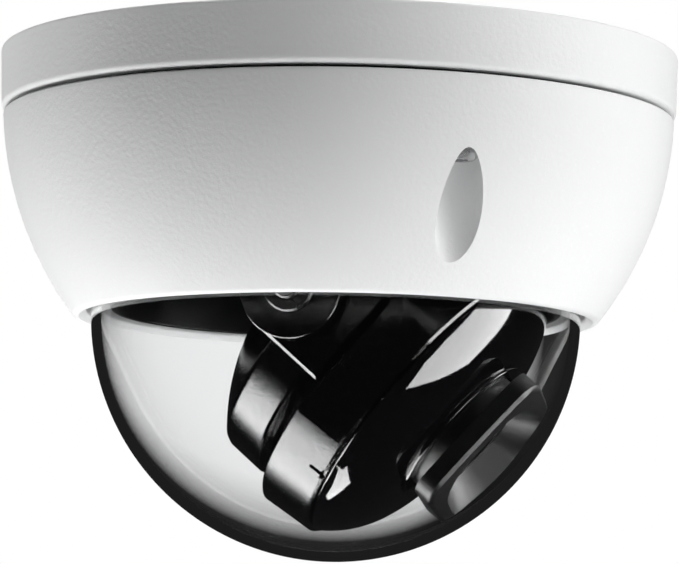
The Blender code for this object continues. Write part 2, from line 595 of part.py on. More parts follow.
def yoke_pieces(pan, black, steel):
    """Turntable on the pan bearing, with an arm each side that carries the head."""
    shoulder = HUB_RADIUS + HUB_SHOULDER
    table = turned("turntable", [(HUB_BORE, HUB_TOP), (HUB_RADIUS, HUB_TOP), (HUB_RADIUS, SHOULDER_TOP),
                                 (shoulder, SHOULDER_TOP), (shoulder, TURNTABLE_TOP),
                                 (TURNTABLE_RADIUS, TURNTABLE_TOP), (TURNTABLE_RADIUS, TURNTABLE_BOTTOM),
                                 (HUB_BORE, TURNTABLE_BOTTOM)], black, ROUND_MIDDLE, pan)
    clip_inner = HUB_RADIUS + GAP
    clip_low = CHASSIS_TOP + GAP
    clip_high = clip_low + CLIP_HEIGHT
    clip_outer = clip_inner + CLIP_WIDTH
    turned("pan_clip", [(clip_inner, clip_high), (clip_outer, clip_high), (clip_outer, clip_low),
                        (clip_inner, clip_low)], steel, ROUND_MIDDLE, pan)

    # An arm is a flat strap with a round lower end; its outline lies across the optical axis at level
    end = arc((0, TILT_AXIS), ARM_END_RADIUS, -180, 0, 14)
    strap = end + [(ARM_END_RADIUS, FOOT_TOP), (-ARM_END_RADIUS, FOOT_TOP)]
    foot_half = ARM_END_RADIUS - GAP
    screw_places = [(-ARM_SCREW_X, 0.0), (ARM_SCREW_X, 0.0)]
    holes = rods("tool_arm_screw_holes", screw_places, SCREW_HOLE, FOOT_TOP - FOOT_THICKNESS - CUT_PAST,
                 TURNTABLE_TOP + CUT_PAST, black, parent=pan)
    combine(table, "DIFFERENCE", holes)
    pivot_hole = rods("tool_pivot_hole", [(0, 0)], TILT_SCREW_SHANK + GAP, -ARM_OUTER - CUT_PAST,
                      ARM_OUTER + CUT_PAST, black, parent=pan)
    pivot_hole.location = (0, 0, TILT_AXIS)
    pivot_hole.rotation_euler = (0, math.pi / 2, 0)

    across = Matrix(((0, 0, 1, 0), (1, 0, 0, 0), (0, 1, 0, 0), (0, 0, 0, 1)))
    washer = [(TILT_SCREW_SHANK + GAP, 0), (TILT_WASHER_RADIUS, 0), (TILT_WASHER_RADIUS, -TILT_WASHER_HEIGHT),
              (TILT_SCREW_SHANK + GAP, -TILT_WASHER_HEIGHT)]
    washer_place = ARM_OUTER + GAP
    head_place = washer_place + TILT_WASHER_HEIGHT + GAP
    screw_length = head_place - REAR_FLAT + EAR_DEPTH
    pivot_screw = screw_profile(TILT_SCREW_HEAD, TILT_SCREW_HEAD_HEIGHT, TILT_SCREW_SHANK, screw_length)
    foot_screw = screw_profile(SMALL_SCREW_HEAD, HUB_SHOULDER_HEIGHT - 2 * GAP, SMALL_SCREW_SHANK,
                               TURNTABLE_THICKNESS + FOOT_THICKNESS + 2 * GAP)
    for side, label in ((-1, "left"), (1, "right")):
        low, high = sorted((side * ARM_INNER, side * ARM_OUTER))
        arm = slab(f"yoke_arm_{label}", strap, low, high, black, pan, across)
        foot_low, foot_high = sorted((side * (ARM_INNER - FOOT_LENGTH), side * (ARM_OUTER - GAP)))
        outline = [(foot_low, -foot_half), (foot_high, -foot_half), (foot_high, foot_half),
                   (foot_low, foot_half)]
        foot = slab(f"tool_foot_{label}", outline, FOOT_TOP - FOOT_THICKNESS, FOOT_TOP - WELD, black, pan)
        combine(arm, "UNION", foot)
        combine(arm, "DIFFERENCE", holes)
        combine(arm, "DIFFERENCE", pivot_hole)
        turn = (0, -side * math.pi / 2, 0)
        ring = turned(f"tilt_washer_{label}", washer, steel, ROUND_SMALL, pan)
        ring.location = (side * washer_place, 0, TILT_AXIS)
        ring.rotation_euler = turn
        screw = turned(f"tilt_screw_{label}", pivot_screw, steel, ROUND_SMALL, pan)
        screw.location = (side * head_place, 0, TILT_AXIS)
        screw.rotation_euler = turn
        bolt = turned(f"arm_screw_{label}", foot_screw, steel, ROUND_SMALL, pan)
        bolt.location = (side * ARM_SCREW_X, 0, TURNTABLE_TOP + GAP)
        bolt.rotation_euler = (math.pi, 0, 0)


def side_blocks(name, flat, head, finish):
    """Two blocks that trim a round piece of the head to flats on both sides."""
    reach = RING_REAR_RADIUS + CUT_PAST
    bm = bmesh.new()
    for side in (-1, 1):
        middle = side * (flat + reach) / 2
        size = Matrix.Diagonal((reach - flat, 2 * reach, 4 * reach, 1))
        bmesh.ops.create_cube(bm, size=1.0, matrix=Matrix.Translation((middle, 0, 0)) @ size)
    return make_object(name, bm, finish, head)


def head_pieces(head, pivot_y, pivot_z, black):
    """Rear shell with its ears for the tilt pivot, and the index ring in front of it."""
    centre = REAR_END + REAR_CURVE
    back = cap(centre, REAR_CURVE, 0, REAR_RADIUS, -1, 7)
    inner_radius = NECK_RADIUS - HEAD_WALL
    hollow = cap(centre, REAR_CURVE - HEAD_WALL, inner_radius, 0, -1, 4)
    neck = [(REAR_RADIUS, REAR_BODY_FRONT), (NECK_RADIUS, REAR_BODY_FRONT), (NECK_RADIUS, NECK_FRONT),
            (inner_radius, NECK_FRONT)]
    shell = turned("rear_shell", back + neck + hollow, black, ROUND_MIDDLE, head)

    across = Matrix(((0, 0, 1, 0), (1, 0, 0, 0), (0, 1, 0, 0), (0, 0, 0, 1)))
    end = arc((pivot_y, pivot_z), ARM_END_RADIUS + GAP, 180, 360, 14)
    ear = end + [(pivot_y + ARM_END_RADIUS + GAP, REAR_BODY_FRONT - GAP),
                 (pivot_y - ARM_END_RADIUS - GAP, REAR_BODY_FRONT - GAP)]
    for side, label in ((-1, "left"), (1, "right")):
        low, high = sorted((side * (REAR_FLAT - EAR_DEPTH), side * (REAR_FLAT + GAP)))
        combine(shell, "UNION", slab(f"tool_ear_{label}", ear, low, high, black, head, across))
    combine(shell, "DIFFERENCE", side_blocks("tool_rear_flats", REAR_FLAT, head, black))
    hole = rods("tool_head_pivot_hole", [(0, 0)], TILT_SCREW_SHANK + GAP, -REAR_RADIUS - CUT_PAST,
                REAR_RADIUS + CUT_PAST, black, parent=head)
    hole.location = (0, pivot_y, pivot_z)
    hole.rotation_euler = (0, math.pi / 2, 0)
    combine(shell, "DIFFERENCE", hole)

    ring = turned("index_ring", [(RING_REAR_RADIUS, RING_REAR), (RING_FRONT_RADIUS, RING_FRONT),
                                 (RING_BORE, RING_FRONT), (RING_BORE, RING_REAR)], black, ROUND_MIDDLE, head)
    combine(ring, "DIFFERENCE", side_blocks("tool_ring_flats", RING_FLAT, head, black))


def shoulder(curve, from_radius, to_radius, steps):
    """Points on the round shoulder of the front dome, from one radius to another."""
    start = math.degrees(math.acos((from_radius - FRONT_DOME_CENTRE[0]) / curve))
    end = math.degrees(math.acos((to_radius - FRONT_DOME_CENTRE[0]) / curve))
    return arc(FRONT_DOME_CENTRE, curve, start, end, steps)


def front_pieces(head, gloss, board, metal, led):
    """Front dome that turns in the index ring, with the frame and the infra-red board behind it."""
    outside = shoulder(FRONT_DOME_CURVE, FRONT_DOME_RADIUS, FRONT_DOME_MOUTH, 6)
    inside = shoulder(FRONT_DOME_CURVE - HEAD_WALL, FRONT_DOME_MOUTH, FRONT_SKIRT_INNER, 4)
    mouth = [(FRONT_MOUTH_INNER, FRONT_DOME_FRONT), (FRONT_MOUTH_INNER, FRONT_DOME_WALL_REAR)]
    skirt = [(FRONT_SKIRT_INNER, FRONT_SKIRT_REAR), (NECK_RADIUS, FRONT_SKIRT_REAR),
             (NECK_RADIUS, FRONT_DOME_REAR)]
    turned("front_dome", outside + mouth + inside + skirt, gloss, ROUND_MIDDLE, head)

    frame_hole = LENS_RADIUS + GAP
    turned("front_frame", [(frame_hole, FRAME_FRONT), (FRAME_RADIUS, FRAME_FRONT), (FRAME_RADIUS, FRAME_REAR),
                           (frame_hole, FRAME_REAR)], metal, ROUND_MIDDLE, head)
    turned("ir_board", [(frame_hole, IR_BOARD_FRONT), (FRAME_RADIUS, IR_BOARD_FRONT),
                        (FRAME_RADIUS, IR_BOARD_REAR), (frame_hole, IR_BOARD_REAR)],
           board, ROUND_MIDDLE, head)
    body = LED_HEIGHT - LED_CROWN
    dome = [(LED_RADIUS, body), (LED_RADIUS - LED_SHOULDER, LED_HEIGHT - LED_SHOULDER), (0, LED_HEIGHT)]
    for index, (x, y) in enumerate(places_round(LED_COUNT, LED_CIRCLE, 180 / LED_COUNT), start=1):
        lamp = turned(f"ir_led_{index}", [(0, 0), (LED_RADIUS, 0)] + dome, led, ROUND_SMALL, head)
        lamp.location = (x, y, IR_BOARD_FRONT + GAP)


def hood_piece(head, rubber):
    """Square rubber hood round the lens, its front cut to follow the bubble."""
    retainer = HOOD_BASE_RADIUS + HOOD_RETAINER
    retainer_rear = HOOD_RETAINER_FRONT - HOOD_RETAINER_HEIGHT
    embedded = HOOD_FLANGE_REAR + HOOD_FLOOR / 2
    hood = turned("lens_hood", [(LENS_OPENING, embedded), (HOOD_BASE_RADIUS, embedded),
                                (HOOD_BASE_RADIUS, HOOD_RETAINER_FRONT), (retainer, HOOD_RETAINER_FRONT),
                                (retainer, retainer_rear), (LENS_OPENING, retainer_rear)],
                  rubber, ROUND_MIDDLE, head)
    outer = rounded_square(HOOD_HALF_WIDTH, HOOD_CORNER)
    block = slab("tool_hood_block", outer, HOOD_FLANGE_REAR, DOME_RADIUS, rubber, head)
    combine(hood, "UNION", block)
    opening = rods("tool_lens_opening", [(0, 0)], LENS_OPENING, HOOD_FLANGE_REAR - HOOD_NECK,
                   DOME_RADIUS + CUT_PAST, rubber, ROUND_MIDDLE, head)
    combine(hood, "DIFFERENCE", opening)
    inner = rounded_square(HOOD_HALF_WIDTH - HOOD_WALL, HOOD_CORNER - HOOD_WALL)
    recess = slab("tool_hood_recess", inner, HOOD_FLOOR_FRONT, DOME_RADIUS + CUT_PAST, rubber, head)
    combine(hood, "DIFFERENCE", recess)
    bm = bmesh.new()
    bmesh.ops.create_uvsphere(bm, u_segments=ROUND_MIDDLE, v_segments=ROUND_MIDDLE, radius=SPHERE_OF_HOOD)
    ball = make_object("tool_hood_ball", bm, rubber, head)
    combine(hood, "INTERSECT", ball)


def lens_pieces(head, black, glass, board, chip, metal):
    """Lens barrel with its front glass, and the sensor board behind it."""
    seat = LENS_FRONT - GLASS_SEAT
    bore = LENS_RADIUS - LENS_WALL
    flange_front = FRAME_REAR - GAP
    flange_rear = flange_front - LENS_FLANGE_HEIGHT
    flange = LENS_RADIUS + LENS_FLANGE
    turned("lens_barrel", [(LENS_BORE, LENS_REAR), (LENS_RADIUS, LENS_REAR), (LENS_RADIUS, flange_rear),
                           (flange, flange_rear), (flange, flange_front), (LENS_RADIUS, flange_front),
                           (LENS_RADIUS, LENS_FRONT), (bore, LENS_FRONT), (bore, seat), (LENS_BORE, seat)],
           black, ROUND_MIDDLE, head)
    glass_radius = bore - GAP
    rear = seat + GAP
    rim = rear + GLASS_RIM
    curve = (glass_radius ** 2 + GLASS_BULGE ** 2) / (2 * GLASS_BULGE)
    bulge = cap(rim + GLASS_BULGE - curve, curve, glass_radius, 0, 1, 3)
    turned("lens_glass", [(0, rear), (glass_radius, rear)] + bulge, glass, ROUND_MIDDLE, head)

    board_front = LENS_REAR - GAP
    outline = rounded_square(SENSOR_BOARD_HALF, SENSOR_BOARD_CORNER)
    slab("sensor_board", outline, board_front - SENSOR_BOARD_THICKNESS, board_front, board, head)
    half = SENSOR_HALF
    outline = [(-half, -half), (half, -half), (half, half), (-half, half)]
    slab("image_sensor", outline, LENS_REAR, LENS_REAR + SENSOR_HEIGHT, chip, head)
    for index, side in enumerate((-1, 1), start=1):
        place = [(side * SENSOR_POST_CIRCLE, 0.0)]
        rods(f"sensor_post_{index}", place, SENSOR_POST_RADIUS, LENS_REAR, flange_front, metal, parent=head)


def build():
    """Make every piece of the camera at rest."""
    clear_scene()
    coat = finish_of("white_powder_coat", (0.78, 0.79, 0.79), 0.5)
    rubber = finish_of("black_rubber", (0.015, 0.015, 0.016), 0.8)
    board = finish_of("circuit_board", (0.02, 0.12, 0.05), 0.5)
    steel = finish_of("screw_steel", (0.55, 0.55, 0.56), 0.3, 1.0)
    plastic = finish_of("socket_plastic", (0.75, 0.73, 0.66), 0.5)
    metal = finish_of("sheet_metal", (0.5, 0.5, 0.5), 0.4, 1.0)
    clear = finish_of("clear_bubble", (0.95, 0.96, 0.97), 0.02, 0.0, 0.25)
    black = finish_of("black_moulding", (0.012, 0.012, 0.013), 0.45)
    gloss = finish_of("gloss_black_window", (0.006, 0.006, 0.007), 0.08)
    led = finish_of("led_lens", (0.35, 0.33, 0.36), 0.1)
    glass = finish_of("lens_coating", (0.03, 0.03, 0.05), 0.03)
    chip = finish_of("sensor_chip", (0.05, 0.05, 0.06), 0.2)

    base_pieces(coat, rubber)
    gasket_piece(rubber)
    electronics(board, steel, plastic)
    chassis_pieces(metal, steel)
    cover_pieces(coat, steel)
    bubble_pieces(clear, rubber, metal, steel, black)

    pan = make_pivot("pan_pivot", rotation=(0, 0, math.radians(REST_PAN)))
    yoke_pieces(pan, black, steel)
    lean = math.radians(REST_TILT_BELOW_LEVEL)
    tilt = make_pivot("tilt_pivot", pan, (0, 0, TILT_AXIS), (math.pi / 2 + lean, 0, 0))
    pivot_y = TILT_AXIS_ABOVE_DOME_CENTRE * math.cos(lean)
    pivot_z = -TILT_AXIS_ABOVE_DOME_CENTRE * math.sin(lean)
    head = make_pivot("lens_axis", tilt, (0, -pivot_y, -pivot_z))
    head_pieces(head, pivot_y, pivot_z, black)
    front_pieces(head, gloss, board, metal, led)
    hood_piece(head, rubber)
    lens_pieces(head, black, glass, board, chip, metal)


build()
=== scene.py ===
# %% [markdown]
# # Dressing a ceiling dome camera
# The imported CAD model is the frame: it says where every piece sits and which pieces move together. Its
# solids have few facets, so the pieces that show are modelled again here, finer and with soft edges, in
# the same place. They could be smoothed CAD meshes, but facets don't make good round edges.

import json
import math

import bmesh
import bpy
from mathutils import Matrix, Vector


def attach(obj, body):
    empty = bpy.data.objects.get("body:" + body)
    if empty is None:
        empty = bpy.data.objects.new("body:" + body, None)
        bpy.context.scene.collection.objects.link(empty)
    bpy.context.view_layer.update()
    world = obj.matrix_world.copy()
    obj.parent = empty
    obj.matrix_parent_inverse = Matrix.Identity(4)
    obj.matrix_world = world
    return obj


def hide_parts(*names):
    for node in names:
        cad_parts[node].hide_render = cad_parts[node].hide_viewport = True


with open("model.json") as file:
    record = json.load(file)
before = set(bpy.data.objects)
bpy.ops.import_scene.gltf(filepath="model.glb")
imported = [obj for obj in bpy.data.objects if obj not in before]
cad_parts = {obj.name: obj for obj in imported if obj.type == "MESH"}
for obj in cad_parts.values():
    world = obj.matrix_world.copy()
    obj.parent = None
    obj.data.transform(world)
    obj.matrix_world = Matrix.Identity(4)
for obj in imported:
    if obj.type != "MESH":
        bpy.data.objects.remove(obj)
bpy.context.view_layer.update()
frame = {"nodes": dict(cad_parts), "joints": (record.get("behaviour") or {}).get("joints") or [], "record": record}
joints = {joint["name"]: joint for joint in frame["joints"]}
print("CAD nodes:", len(frame["nodes"]), "joints:", sorted(joints))

# %% [markdown]
# ## The camera
# A product picture is taken from far away with a long lens, so the round housing hardly tapers. The camera
# stands a little below the dome and looks up at it. Its place could be found by eye; here it was solved
# from the outlines of base, cover and bubble, and is written as plain turns and a distance.

# %% Camera
VIEW_TURN = math.radians(-82.05)
CAMERA_BACK = 0.7665609
CAMERA_HEIGHT = -0.1289585
CAMERA_YAW = -0.00077
CAMERA_PITCH = 0.11458
CAMERA_ROLL = 0.01528
FOCAL_LENGTH = 227.56

VIEW = Matrix.Rotation(VIEW_TURN, 4, "Z")
optics = bpy.data.cameras.new("photo_camera")
optics.sensor_fit = "HORIZONTAL"
optics.sensor_width = 36.0
optics.lens = FOCAL_LENGTH
camera = bpy.data.objects.new("photo_camera", optics)
bpy.context.scene.collection.objects.link(camera)
stand = VIEW @ Matrix.Translation((0, -CAMERA_BACK, CAMERA_HEIGHT))
look = Matrix.Rotation(CAMERA_YAW, 4, "Z") @ Matrix.Rotation(math.pi / 2 + CAMERA_PITCH, 4, "X")
camera.matrix_world = stand @ look @ Matrix.Rotation(CAMERA_ROLL, 4, "Z")
bpy.context.scene.camera = camera
print("camera at", [round(value, 3) for value in camera.matrix_world.translation])

# %% [markdown]
# ## Turning a section
# Nearly every piece here is round, as if cut on a lathe. A half section is drawn from straight moves and
# arcs, and the spin operator turns it. An arc could be a list of computed points, but spinning one vertex
# draws it with the same operator. Sections are drawn in millimetres; the finished mesh is scaled to
# metres.

# %% Half sections and turned pieces
MM = 0.001
ROUND = 144
WELD = 1e-4


def half_section(moves):
    """Draw a section in the XZ plane: ("to", x, z), or ("round", centre x, centre z, degrees, steps)."""
    bm = bmesh.new()
    last = None
    for kind, x, z, *swing in moves:
        if kind == "to":
            point = bm.verts.new((x, 0, z))
            if last:
                bm.edges.new((last, point))
            last = point
        else:
            degrees, steps = swing
            made = bmesh.ops.spin(bm, geom=[last], cent=(x, 0, z), axis=(0, -1, 0), dvec=(0, 0, 0),
                                  angle=math.radians(degrees), steps=steps)
            last = next(item for item in made["geom_last"] if isinstance(item, bmesh.types.BMVert))
    return bm


def turned(moves, steps=ROUND):
    """Turn a half section about Z. A section that leaves the axis is closed into a ring first."""
    bm = half_section(moves)
    ends = [vert for vert in bm.verts if len(vert.link_edges) == 1]
    if any(vert.co.x > WELD for vert in ends):
        bm.edges.new(ends)
    bmesh.ops.spin(bm, geom=bm.verts[:] + bm.edges[:], cent=(0, 0, 0), axis=(0, 0, 1), dvec=(0, 0, 0),
                   angle=math.tau, steps=steps, use_merge=True)
    bmesh.ops.remove_doubles(bm, verts=bm.verts, dist=WELD)
    bmesh.ops.recalc_face_normals(bm, faces=bm.faces)
    return bm


def bevelled(bm, edges, width, segments):
    """Round a set of edges."""
    bmesh.ops.bevel(bm, geom=edges, offset=width, offset_type="OFFSET", segments=segments, profile=0.5,
                    affect="EDGES", clamp_overlap=True, material=-1)


def ease(bm, corners, width, segments=3):
    """Round the ring edges that run through these (radius, height) corners of the section."""
    near = 0.01
    chosen = []
    for edge in bm.edges:
        for radius, height in corners:
            if all(abs(vert.co.xy.length - radius) < near and abs(vert.co.z - height) < near
                   for vert in edge.verts):
                chosen.append(edge)
    bevelled(bm, chosen, width, segments)


print("steps round a turned piece:", ROUND)

# %% [markdown]
# ## Cutting and joining
# Holes, wells and flats are cut with boolean modifiers on two short-lived objects. They could be built by
# hand from loops, but the flats cross curved walls, where a boolean finds the edge exactly. After a cut,
# the sharp edges are found by their angle and get a small bevel, since no moulded edge is a knife.

# %% Booleans, rods, slabs and soft edges
def short_lived(bm):
    """Put a bmesh into a linked object for one modifier."""
    mesh = bpy.data.meshes.new("tool")
    bm.to_mesh(mesh)
    bm.free()
    tool = bpy.data.objects.new("tool", mesh)
    bpy.context.scene.collection.objects.link(tool)
    return tool


def combined(bm, tool, operation="DIFFERENCE"):
    """Apply a boolean of two bmeshes and return the result; both are used up."""
    body, cutter = short_lived(bm), short_lived(tool)
    step = body.modifiers.new("cut", "BOOLEAN")
    step.operation = operation
    step.solver = "EXACT"
    step.object = cutter
    bpy.context.view_layer.update()
    result = bmesh.new()
    result.from_object(body, bpy.context.evaluated_depsgraph_get())
    for item in (body, cutter):
        mesh = item.data
        bpy.data.objects.remove(item)
        bpy.data.meshes.remove(mesh)
    bmesh.ops.remove_doubles(result, verts=result.verts, dist=WELD)
    return result


def rods(places, radius, low, high, steps=32):
    """Upright cylinders at several (x, y) places."""
    bm = bmesh.new()
    for x, y in places:
        middle = Matrix.Translation((x, y, (low + high) / 2))
        bmesh.ops.create_cone(bm, cap_ends=True, cap_tris=False, segments=steps, radius1=radius,
                              radius2=radius, depth=high - low, matrix=middle)
    return bm


def slab(corners, low, high):
    """A flat outline, lifted to a thickness."""
    bm = bmesh.new()
    face = bm.faces.new([bm.verts.new((x, y, low)) for x, y in corners])
    made = bmesh.ops.extrude_face_region(bm, geom=[face])
    lifted = [item for item in made["geom"] if isinstance(item, bmesh.types.BMVert)]
    bmesh.ops.translate(bm, vec=(0, 0, high - low), verts=lifted)
    bmesh.ops.recalc_face_normals(bm, faces=bm.faces)
    return bm


def sharp_edges(bm, over):
    """Edges whose faces meet at more than an angle in degrees."""
    return [edge for edge in bm.edges if edge.is_manifold and edge.calc_face_angle() > math.radians(over)]


def rim_verts(bm, over):
    """Ends of the sharp edges, in the mesh's own order, so that each run merges them alike."""
    ends = {vert for edge in sharp_edges(bm, over) for vert in edge.verts}
    return [vert for vert in bm.verts if vert in ends]


def soften(bm, width, segments=2, over=35.0):
    """Round every sharp edge, after closing up the slivers that a cut leaves along it."""
    bmesh.ops.dissolve_limit(bm, angle_limit=math.radians(0.3), verts=bm.verts, edges=bm.edges,
                             use_dissolve_boundaries=False, delimit=set())
    bmesh.ops.remove_doubles(bm, verts=rim_verts(bm, over), dist=width / 2)
    rim = set(rim_verts(bm, over))
    beside = [edge for edge in bm.edges if len(rim.intersection(edge.verts)) == 1]
    bmesh.ops.collapse(bm, edges=[edge for edge in beside if edge.calc_length() < width], uvs=False)
    bevelled(bm, sharp_edges(bm, over), width, segments)


def places_round(count, circle, first):
    """(x, y) places on a circle; angles in degrees from the front, -Y, towards +X."""
    angles = [math.radians(first + 360 * index / count) for index in range(count)]
    return [(circle * math.sin(angle), -circle * math.cos(angle)) for angle in angles]


def arc_points(centre, radius, start, end, steps):
    """Points of an outline on a circle, from one angle to another in degrees."""
    angles = [math.radians(start + (end - start) * index / steps) for index in range(steps + 1)]
    return [(centre[0] + radius * math.cos(angle), centre[1] + radius * math.sin(angle)) for angle in angles]


print("points closer than", WELD, "mm are welded after a cut")

# %% [markdown]
# ## Putting a piece in place
# The lens head leans down and to one side, so its pieces are drawn upright about their own axis and then
# turned into place. The two joints give that frame: X along the tilt axis and Z along the axis the lens
# unit turns about. The place goes into the mesh, and the object itself stays at the origin. Weighted
# normals keep a flat face flat beside its narrow bevel, so that an edge catches the light as one thin
# line.

# %% Frames of the head and the yoke, and finishing a piece
tilt_axis = Vector(joints["tilt"]["axis"]).normalized()
lens_axis = Vector(joints["lens_turn"]["axis"]).normalized()


def frame_of(across, along, origin):
    """A placing matrix from its X and Z directions and its origin in metres."""
    turn = Matrix((across, along.cross(across), along)).transposed().to_4x4()
    return Matrix.Translation(origin) @ turn


HEAD = frame_of(tilt_axis, lens_axis, joints["lens_turn"]["pos_m"])
YOKE = frame_of(tilt_axis, Vector((0, 0, 1)), (0, 0, 0))
ACROSS = Matrix(((0, 0, 1, 0), (1, 0, 0, 0), (0, 1, 0, 0), (0, 0, 0, 1)))
SHARP_ANGLE = math.radians(38)


def finished(name, bm, finish, body, nodes=None, place=Matrix.Identity(4)):
    """Turn a bmesh in millimetres into a piece in metres that rides on a body."""
    bmesh.ops.transform(bm, matrix=place @ Matrix.Scale(MM, 4), verts=bm.verts)
    mesh = bpy.data.meshes.new(name)
    bm.to_mesh(mesh)
    bm.free()
    mesh.shade_smooth()
    mesh.set_sharp_from_angle(angle=SHARP_ANGLE)
    mesh.materials.append(finish)
    piece = bpy.data.objects.new(name, mesh)
    bpy.context.scene.collection.objects.link(piece)
    even = piece.modifiers.new("even_shading", "WEIGHTED_NORMAL")
    even.keep_sharp = True
    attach(piece, body)
    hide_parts(*(nodes or [name.removesuffix("_fine")]))
    print(name, "faces:", len(mesh.polygons))
    return piece


print("lens axis from straight down:", round(math.degrees(lens_axis.angle(Vector((0, 0, -1))))), "degrees")

# %% [markdown]
# ## Finishes
# The real finishes are plain: powder coat, moulded black plastic, polished black plastic, rubber and
# steel. What tells them apart is how rough they are and the size of their grain. One node group makes an
# even grain in the object's own coordinates, and each finish sets its scale. A picture of the grain would
# repeat and stretch; noise does neither.

# %% A shared grain group
def grain_group():
    """Node group: a fine height, a fine mask of specks and a slow tone, all from noise."""
    group = bpy.data.node_groups.new("surface_grain", "ShaderNodeTree")
    for label, value in (("Scale", 900.0), ("Slow Scale", 25.0)):
        socket = group.interface.new_socket(label, in_out="INPUT", socket_type="NodeSocketFloat")
        socket.default_value = value
    for label in ("Height", "Specks", "Tone"):
        group.interface.new_socket(label, in_out="OUTPUT", socket_type="NodeSocketFloat")
    make = group.nodes.new
    entry, leave = make("NodeGroupInput"), make("NodeGroupOutput")
    place = make("ShaderNodeTexCoord")
    fine, slow = make("ShaderNodeTexNoise"), make("ShaderNodeTexNoise")
    fine.inputs["Detail"].default_value = 3.0
    fine.inputs["Roughness"].default_value = 0.55
    slow.inputs["Detail"].default_value = 4.0
    specks = make("ShaderNodeMapRange")
    specks.inputs["From Min"].default_value = 0.60
    specks.inputs["From Max"].default_value = 0.72
    for start, end in (
        (place.outputs["Object"], fine.inputs["Vector"]), (place.outputs["Object"], slow.inputs["Vector"]),
        (entry.outputs["Scale"], fine.inputs["Scale"]), (entry.outputs["Slow Scale"], slow.inputs["Scale"]),
        (fine.outputs["Fac"], specks.inputs["Value"]), (fine.outputs["Fac"], leave.inputs["Height"]),
        (specks.outputs["Result"], leave.inputs["Specks"]), (slow.outputs["Fac"], leave.inputs["Tone"]),
    ):
        group.links.new(start, end)
    return group


GRAIN = grain_group()


def grained(name, low, high, grain, relief, rough, slow=25.0, speck=None, sockets=None):
    """A finish between two close colours, with wandering roughness and a bump of a relief in metres."""
    finish = bpy.data.materials.new(name)
    finish.use_nodes = True
    make, link = finish.node_tree.nodes.new, finish.node_tree.links.new
    shader = finish.node_tree.nodes["Principled BSDF"]
    surface = make("ShaderNodeGroup")
    surface.node_tree = GRAIN
    surface.inputs["Scale"].default_value = grain
    surface.inputs["Slow Scale"].default_value = slow
    tone, spots = make("ShaderNodeMix"), make("ShaderNodeMix")
    tone.data_type = spots.data_type = "RGBA"
    tone.inputs[6].default_value = (*low, 1)
    tone.inputs[7].default_value = (*high, 1)
    spots.inputs[7].default_value = (*(speck or high), 1)
    spread = make("ShaderNodeMapRange")
    spread.inputs["From Min"].default_value = 0.3
    spread.inputs["From Max"].default_value = 0.7
    spread.inputs["To Min"].default_value = rough[0]
    spread.inputs["To Max"].default_value = rough[1]
    bump = make("ShaderNodeBump")
    bump.inputs["Strength"].default_value = 1.0
    bump.inputs["Distance"].default_value = relief
    link(surface.outputs["Tone"], tone.inputs[0])
    link(tone.outputs[2], spots.inputs[6])
    link(surface.outputs["Specks"], spots.inputs[0])
    link(spots.outputs[2], shader.inputs["Base Color"])
    link(surface.outputs["Tone"], spread.inputs["Value"])
    link(spread.outputs["Result"], shader.inputs["Roughness"])
    link(surface.outputs["Height"], bump.inputs["Height"])
    link(bump.outputs["Normal"], shader.inputs["Normal"])
    for label, value in (sockets or {}).items():
        shader.inputs[label].default_value = value
    return finish


print("nodes in the grain group:", len(GRAIN.nodes))

# %% [markdown]
# ## Opaque finishes
# Each finish is two close colours, a grain, a relief and a range of roughness. The powder coat is pale
# with a coarse peel, the black mouldings have a fine spark texture, and the front window is polished. They
# could share one black, but only grain and roughness make ring, window and rubber look like three
# materials, so each has its own values.

# %% The opaque finishes
WHITE_COAT = grained("white_powder_coat", (0.78, 0.785, 0.785), (0.82, 0.825, 0.825), 1200, 7e-5,
                     (0.42, 0.52), 18)
BLACK_MOULDING = grained("black_spark_moulding", (0.0012, 0.0012, 0.0014), (0.0020, 0.0020, 0.0022),
                         2800, 4e-5, (0.11, 0.15), 60, (0.006, 0.006, 0.006))
BLACK_LINER = grained("black_liner", (0.0015, 0.0015, 0.0017), (0.0025, 0.0025, 0.0027),
                      2500, 3e-6, (0.30, 0.40), 40)
GLOSS_WINDOW = grained("gloss_infra_red_window", (0.0012, 0.0012, 0.0015), (0.0020, 0.0018, 0.0022),
                       400, 4e-7, (0.03, 0.06), 40)
BLACK_RUBBER = grained("black_rubber", (0.003, 0.003, 0.0032), (0.005, 0.005, 0.0052),
                       4200, 9e-6, (0.40, 0.48), 90)
BRIGHT_STEEL = grained("bright_screw_steel", (0.62, 0.62, 0.63), (0.74, 0.74, 0.75),
                       900, 2e-5, (0.18, 0.30), 300, sockets={"Metallic": 0.75})
DARK_STEEL = grained("blackened_steel", (0.015, 0.015, 0.016), (0.03, 0.03, 0.03),
                     3000, 2e-6, (0.22, 0.32), 200, sockets={"Metallic": 0.6})
SHEET_METAL = grained("plated_sheet", (0.48, 0.48, 0.47), (0.60, 0.60, 0.58),
                      1200, 3e-6, (0.30, 0.45), 60, sockets={"Metallic": 1.0})
GREEN_BOARD = grained("solder_mask_green", (0.008, 0.075, 0.030), (0.018, 0.12, 0.05),
                      900, 4e-6, (0.30, 0.42), 350)
PALE_PLASTIC = grained("pale_socket_plastic", (0.70, 0.68, 0.61), (0.76, 0.74, 0.67),
                       2500, 4e-6, (0.40, 0.52), 80)
LED_EPOXY = grained("led_epoxy", (0.30, 0.28, 0.32), (0.40, 0.38, 0.42), 600, 1e-6, (0.05, 0.10), 120)
SENSOR_FACE = grained("sensor_face", (0.03, 0.03, 0.045), (0.07, 0.06, 0.08), 4000, 1e-6, (0.10, 0.18), 600)
LENS_COATING = grained("coated_lens_glass", (0.004, 0.005, 0.012), (0.012, 0.006, 0.020),
                       300, 2e-7, (0.015, 0.03), 90,
                       sockets={"IOR": 1.7, "Specular Tint": (0.65, 0.75, 1.0, 1.0)})
print("finishes:", len(bpy.data.materials))

